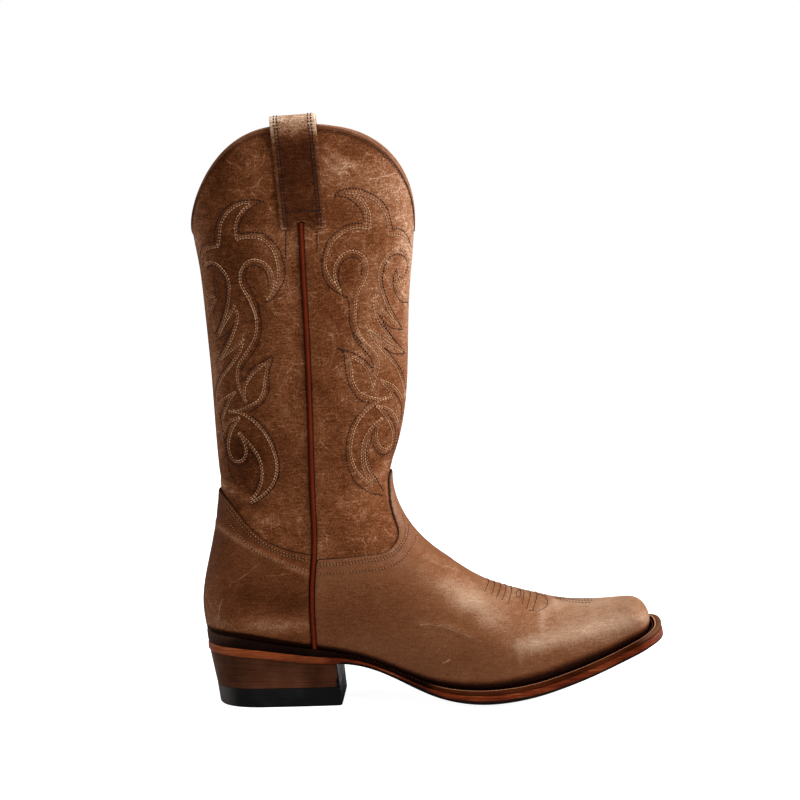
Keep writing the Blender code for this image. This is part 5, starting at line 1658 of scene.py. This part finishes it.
    "backLoopLight": ((-137, 275.6), (-136.5, 281.2), (-133.5, 284.2), (-129.9, 284.2), (-125.9, 281.9),
        (-122.9, 278.4), (-120.5, 274.4), (-119.6, 268.9), (-120, 262.9), (-121.1, 257.4), (-122.6, 252.4),
        (-124.5, 247.4), (-126.8, 241.3), (-129, 237.2)),
    "backLoopDark": ((-134.9, 280.2), (-132, 281.8), (-127.6, 280.9), (-124.6, 277.4), (-122.4, 272.4),
        (-122.2, 266.4), (-123.3, 259.9), (-125.4, 252.4), (-127.9, 245.8), (-131.8, 238.5)),
    "backCurlLight": ((-135.9, 266.5), (-133.8, 262.1), (-131.2, 261.7), (-131.5, 257.7), (-134.9, 254.5)),
    "backCurlDark": ((-131.4, 272.3), (-130.3, 268.3), (-129.5, 263.3), (-130.4, 257.2), (-132.1, 251.6)),
    "backTipLight": ((-116.6, 257.5), (-119, 252.8), (-122.6, 247.6), (-127.5, 239.9)),
    "backTipLightB": ((-116.3, 254.7), (-115.1, 251.3), (-115.7, 246.6), (-117.6, 241.4), (-120.4, 235.1),
        (-124.4, 228.2), (-127.9, 222.3)),
    "backTipDark": ((-117.6, 246.6), (-120.7, 240.9), (-123.8, 235.6), (-127.6, 228.1), (-132.4, 219.2)),
    "backTipDarkB": ((-122.1, 240.8), (-126.8, 237), (-131.4, 234.7)),
    "backTipTwo": ((-111.6, 236.3), (-117.3, 231), (-123.1, 226.7), (-128.5, 222.2)),
    "backLongLight": ((-112.5, 233.7), (-115.3, 226.9), (-119.4, 221.6), (-124.2, 215.6), (-128.7, 209.6),
        (-131.5, 203.4), (-133, 196.8), (-133.8, 188.1)),
    "backLongDark": ((-120.7, 223.4), (-125.9, 217.1), (-130.4, 211), (-132.9, 204.3), (-134.5, 198.1)),
    "backLeafLight": ((-113.3, 196.8), (-113, 201.8), (-111.9, 207.1), (-109, 211.8), (-103.9, 217), (-99.3, 219.9),
        (-100.2, 210.7), (-101.3, 205), (-103.7, 199.3), (-108.2, 195.6), (-114.3, 192.8), (-120.5, 190.5),
        (-125, 190.5)),
    "backLeafDark": ((-112.9, 209.7), (-110.5, 214.9), (-105.4, 219.9), (-99.4, 222.7), (-94.1, 225.5),
        (-95.9, 218.5), (-97.1, 210.7), (-98.3, 201.3), (-101.2, 196.6), (-105.6, 193), (-111.2, 189.8)),
    "backHookLight": ((-133.5, 187.1), (-131.9, 193.3), (-128.7, 197.4), (-124.5, 200.3), (-119, 202.7),
        (-122.3, 198.4), (-124.2, 195.1), (-126.8, 190.1), (-128.9, 184.6)),
    "backHookDark": ((-125.9, 195.5), (-129.1, 191), (-131.4, 184.3)),
    "backScrollLight": ((-122, 190.3), (-114.6, 188), (-108.6, 184.1), (-102.7, 177.6), (-98.1, 168.4),
        (-95.5, 158.2), (-96.4, 149.1), (-100.3, 142), (-106.7, 136.4), (-113.1, 132.6)),
    "backScrollDark": ((-109.4, 188.1), (-102.5, 181.6), (-96.8, 172.5), (-93.8, 162.3), (-93.2, 154.1),
        (-95.8, 145), (-102, 137.8), (-113.1, 130.8)),
    "backCrescentLight": ((-118.9, 177.2), (-113.3, 172.3), (-108.4, 166.3), (-104.7, 158.2), (-104.1, 149),
        (-106.5, 140.9), (-112, 134)),
    "backCrescentDark": ((-112.7, 165.2), (-107.7, 161), (-105.6, 154.1), (-106.8, 147), (-111.3, 137.8)),
    "backEyeLight": ((-116.8, 186.3), (-121.5, 180.1), (-124.6, 172.8), (-125.1, 164.5), (-122.1, 159.1),
        (-117.7, 159.4), (-114.8, 164.1), (-115.6, 170.2), (-118.9, 177.2)),
    "backEyeDark": ((-122.3, 185.2), (-126.6, 176.7), (-127.7, 167.4), (-125.9, 159.3), (-120.6, 155.1),
        (-115.2, 156.9), (-112.6, 162.2)),
    "backBackLight": ((-116.8, 186.3), (-122.3, 184.2), (-127, 179.8), (-130.4, 171.1)),
    "backBackDark": ((-131.1, 188.5), (-129.5, 176.4), (-127.9, 164.3), (-126.8, 154.1), (-124.1, 147.2)),
}
stitch = {
    "pitch": 2.0,
    "length": 1.65,
    "width": 0.72,
    "height": 0.56,
    "lift": 0.12,  # of its middle over the leather
    "aim": 0.4,  # how far before and after its middle it takes its direction from
    "lengths": (0.88, 1.06),  # how much one differs from the next
    "heights": (0.85, 1.15),
    "astray": 0.05,
    "rustAside": 1.15,  # from a light row towards its dark one
    "strapRows": (2.8, 4.6),  # in from the strap's edges
    "strapFootRow": 11.2,
    "overlayRows": (2.2, 3.9, 9.3),  # in from the top edges of vamp and counter
    "overlayRoom": 0.6,  # left free at the front, the back and the piping
    "overlayClear": 2.4,
    "collarRow": 2.1,
    "weltGroove": 0.65,
    "weltSunk": 0.15,
    "room": 0.7,  # from the front and back ridges
    "edgeRoom": 26.0,
    "linePoints": 120,
    "overlayPoints": 400,
    "shortPoints": 40,
    "seed": 7,
}
# spacing, size, start and length of the stitches of each kind of row
rowKinds = {
    "panel": {},
    "overlayRust": {"size": 0.6, "share": 0.7},
    "overlayDark": {"size": 0.9, "start": 0.0, "share": 0.42},
    "strap": {"pitch": 1.05},
    "foot": {"pitch": 0.9},
    "toe": {"size": 0.62},
    "collar": {"size": 0.75},
    "welt": {"pitch": 1.3, "size": 1.1},
}
# rows on the shaft below the strap's foot
footRows = {
    "sideRowBack": ((-82.6, 302.5), (-83.0, 295.2), (-83.4, 285.4)),
    "sideRowFront": ((-63.5, 302.0), (-63.8, 295.8), (-64.1, 288.4)),
}
# rows on top of the vamp
toeRows = {
    "rowOne": ((34.9, 70.9), (33.3, 69.3), (31.7, 67.5)),
    "rowTwo": ((38.8, 69.3), (37.5, 67.7), (36.2, 65.9)),
    "rowThree": ((42.6, 67.8), (41.0, 66.0), (39.3, 64.1)),
    "rowFour": ((46.1, 66.5), (44.5, 64.6), (42.9, 62.5)),
    "rowFive": ((49.6, 65.3), (48.2, 63.2), (46.7, 60.8)),
    "rowSix": ((57.4, 62.8), (56.6, 61.2), (56.0, 59.2)),
    "rowSeven": ((61.6, 61.8), (60.0, 59.5), (58.2, 56.6)),
    "rowEight": ((65.8, 60.7), (64.0, 58.3), (62.1, 55.6)),
    "ring": ((53.8, 63.8), (55.4, 63.0), (54.9, 62.3), (53.6, 62.2), (52.2, 63.0), (52.4, 63.7), (53.8, 63.8)),
    "loop": ((66.0, 60.6), (70.4, 59.5), (72.4, 57.9), (70.2, 56.0), (64.7, 55.1), (59.6, 56.2)),
    "ridge": ((77.0, 58.2), (82.9, 57.1), (91.7, 56.1), (102.0, 55.9)),
    "ridgeTwo": ((77.8, 57.75), (83.8, 56.75), (92.4, 55.75), (100.5, 55.55)),
}


def stitchShape():
    # a slim capsule: its two ends and two rings of six, with its faces
    turn = np.arange(6) * np.pi / 3
    rings = [np.stack([np.full(6, place), np.cos(turn), np.sin(turn)], -1) for place in (-0.32, 0.32)]
    shape = np.concatenate([[(-0.5, 0, 0)], *rings, [(0.5, 0, 0)]])
    one, two = np.arange(1, 7), np.arange(7, 13)
    walls = np.stack([one, np.roll(one, -1), np.roll(two, -1), two], -1)
    first = np.stack([np.zeros(6, int), np.roll(one, -1), one], -1)
    final = np.stack([np.full(6, 13), two, np.roll(two, -1)], -1)
    return shape, walls, np.concatenate([first, final])


capsule, capsuleWalls, capsuleEnds = stitchShape()
shaker = np.random.default_rng(stitch["seed"])
sewnRows = {name: [] for name in threads}


def sew(thread, points, normals, pitch=1.0, size=1.0, start=0.5, share=1.0):
    # stitches at even steps along a row of points, each laid along the row on its leather
    if len(points) < 3:
        return
    run = np.concatenate([[0], np.cumsum(np.linalg.norm(np.diff(points, axis=0), axis=1))])
    count = max(int(run[-1] / (stitch["pitch"] * pitch)), 2)
    at = (np.arange(count) + start) * run[-1] / count

    def along(values, place):
        return np.stack([np.interp(place, run, column) for column in values.T], -1)

    middle, out = along(points, at), along(normals, at)
    ahead = unit(along(points, at + stitch["aim"]) - along(points, at - stitch["aim"]))
    out = unit(out - ahead * np.sum(out * ahead, axis=-1, keepdims=True))
    over = np.cross(out, ahead)
    longest = share * stitch["length"] * min(1.0, run[-1] / count / stitch["pitch"])
    lengths = longest * shaker.uniform(*stitch["lengths"], count)[:, None, None]
    high = stitch["height"] * size * shaker.uniform(*stitch["heights"], count)[:, None, None]
    middle = middle + over * shaker.normal(0, stitch["astray"], (count, 1)) + out * stitch["lift"]
    body = middle[:, None] + ahead[:, None] * capsule[:, :1] * lengths + out[:, None] * capsule[:, 2:] * high / 2
    sewnRows[thread].append(body + over[:, None] * capsule[:, 1:2] * stitch["width"] * size / 2)


def curvedLine(line, points):
    return curveOf(line)(np.linspace(0, 1, points))


def onLeather(line, side, lift=0.0):
    # a line of the side view laid on the skin, with the normals there
    x, z = line.T
    station, depth = stationDepth(x, z)
    room = np.minimum(x - backX(z), depth - frontDepth(station))
    x, z, room = (values[room > stitch["room"]] for values in (x, z, room))
    x = x + skew(side * seam["shaftHalf"]) * smooth(room / stitch["edgeRoom"])
    points = onSkin(x, z, side)
    normals = sideNormal(x, z, side)
    return points + normals * (lift + creaseField(points)[0])[:, None], normals


def onSurface(kind, line, side):
    # a line of the side view laid on an overlay, through the plane at its nearest point
    x, z = line.T
    points = onSkin(x, z, side)
    top, normals = surfaces[kind]
    near = np.argmin(np.linalg.norm(points[:, None] - top, axis=-1), axis=1)
    over = np.sum((points - top[near]) * normals[near], axis=-1, keepdims=True)
    return points - over * normals[near], normals[near]


def aside(line, distance):
    # a line of the side view moved sideways
    along = unit(np.gradient(line, axis=0))
    return line + distance * np.stack([along[:, 1], -along[:, 0]], -1)


def sewPanels():
    darks = {}
    for panel in ("front", "back"):
        lines = [line for name, line in panelLines.items() if name.startswith(panel) and "Dark" in name]
        darks[panel] = np.concatenate(lines)
    for name, line in panelLines.items():
        dark = "Dark" in name
        smoothLine = curvedLine(line, stitch["linePoints"])
        rows = {"dark" if dark else "light": smoothLine}
        if not dark:
            near = darks["front" if name.startswith("front") else "back"]
            sides = [aside(smoothLine, way * stitch["rustAside"]) for way in (1, -1)]
            away = [np.mean(np.min(np.linalg.norm(row[:, None] - near, axis=-1), axis=1)) for row in sides]
            rows["rust"] = sides[int(np.argmin(away))]
        for thread, row in rows.items():
            for side in (-1, 1):
                sew(thread, *onLeather(row, side), **rowKinds["panel"])


def sewOverlays():
    thick = gap + overlay["thick"]
    clear = piping["width"] / 2 + stitch["overlayClear"]
    for piece, ahead in ((vamp, 1), (counter, -1)):
        line = curvedLine(piece["line"], stitch["overlayPoints"])
        for depth in stitch["overlayRows"]:
            row = aside(line, depth)
            x, z = row.T
            station, inwards = stationDepth(x, z)
            keep = (inwards - frontDepth(station) > stitch["overlayRoom"]) & (x - backX(z) > stitch["overlayRoom"])
            keep &= ahead * (x - seam["x"]) > clear
            for side in (-1, 1):
                laid = onLeather(row[keep], side, thick)
                sew("rust", *laid, **rowKinds["overlayRust"])
                sew("dark", *laid, **rowKinds["overlayDark"])


def sewStraps():
    path = strapPath()
    lift = strap["thick"] / 2
    rows = np.concatenate([way * (strap["half"] - np.array(stitch["strapRows"])) for way in (-1, 1)])
    for side in (-1, 1):
        points, outer = (strapPoint(path, lift + extra, rows, side) for extra in (0, 1))
        for column in range(len(rows)):
            sew("dark", points[1:-1, column], unit(outer - points)[1:-1, column], **rowKinds["strap"])
        level = np.argmin(np.abs(path[: strap["legRows"], 1] - strap["foot"] - stitch["strapFootRow"]))
        across = np.linspace(rows[1], rows[2], stitch["shortPoints"])
        points, outer = (strapPoint(path, lift + extra, across, side)[level] for extra in (0, 1))
        sew("dark", points, unit(outer - points), **rowKinds["strap"])


def sewRest():
    for side in (-1, 1):
        for line in footRows.values():
            sew("dark", *onLeather(curvedLine(line, stitch["linePoints"]), side), **rowKinds["foot"])
        for line in toeRows.values():
            sew("dark", *onSurface("vamp", curvedLine(line, stitch["shortPoints"]), side), **rowKinds["toe"])
    points, normals = collarRings(stitch["collarRow"])
    sew("brown", points[1], normals[1], **rowKinds["collar"])
    loop = stripLoop(lambda x: rimOut(x) * stitch["weltGroove"], True)
    high = seatZ(loop[:, 0]) - gap - stitch["weltSunk"] * soleAt["strip"](loop[:, 0])
    upwards = np.broadcast_to((0.0, 0.0, 1.0), (len(loop), 3))
    sew("brown", withHeight(loop, high), upwards, **rowKinds["welt"])


def makeStitches():
    for thread, rows in sewnRows.items():
        bodies = np.concatenate(rows)
        starts = (np.arange(len(bodies)) * len(capsule))[:, None, None]
        faces = [(starts + shape).reshape(-1, shape.shape[1]) for shape in (capsuleWalls, capsuleEnds)]
        addPiece(thread + "_stitches", bodies, faces, [finishes[thread + "Thread"]], sharp=80)


sewPanels()
sewOverlays()
sewStraps()
sewRest()
makeStitches()
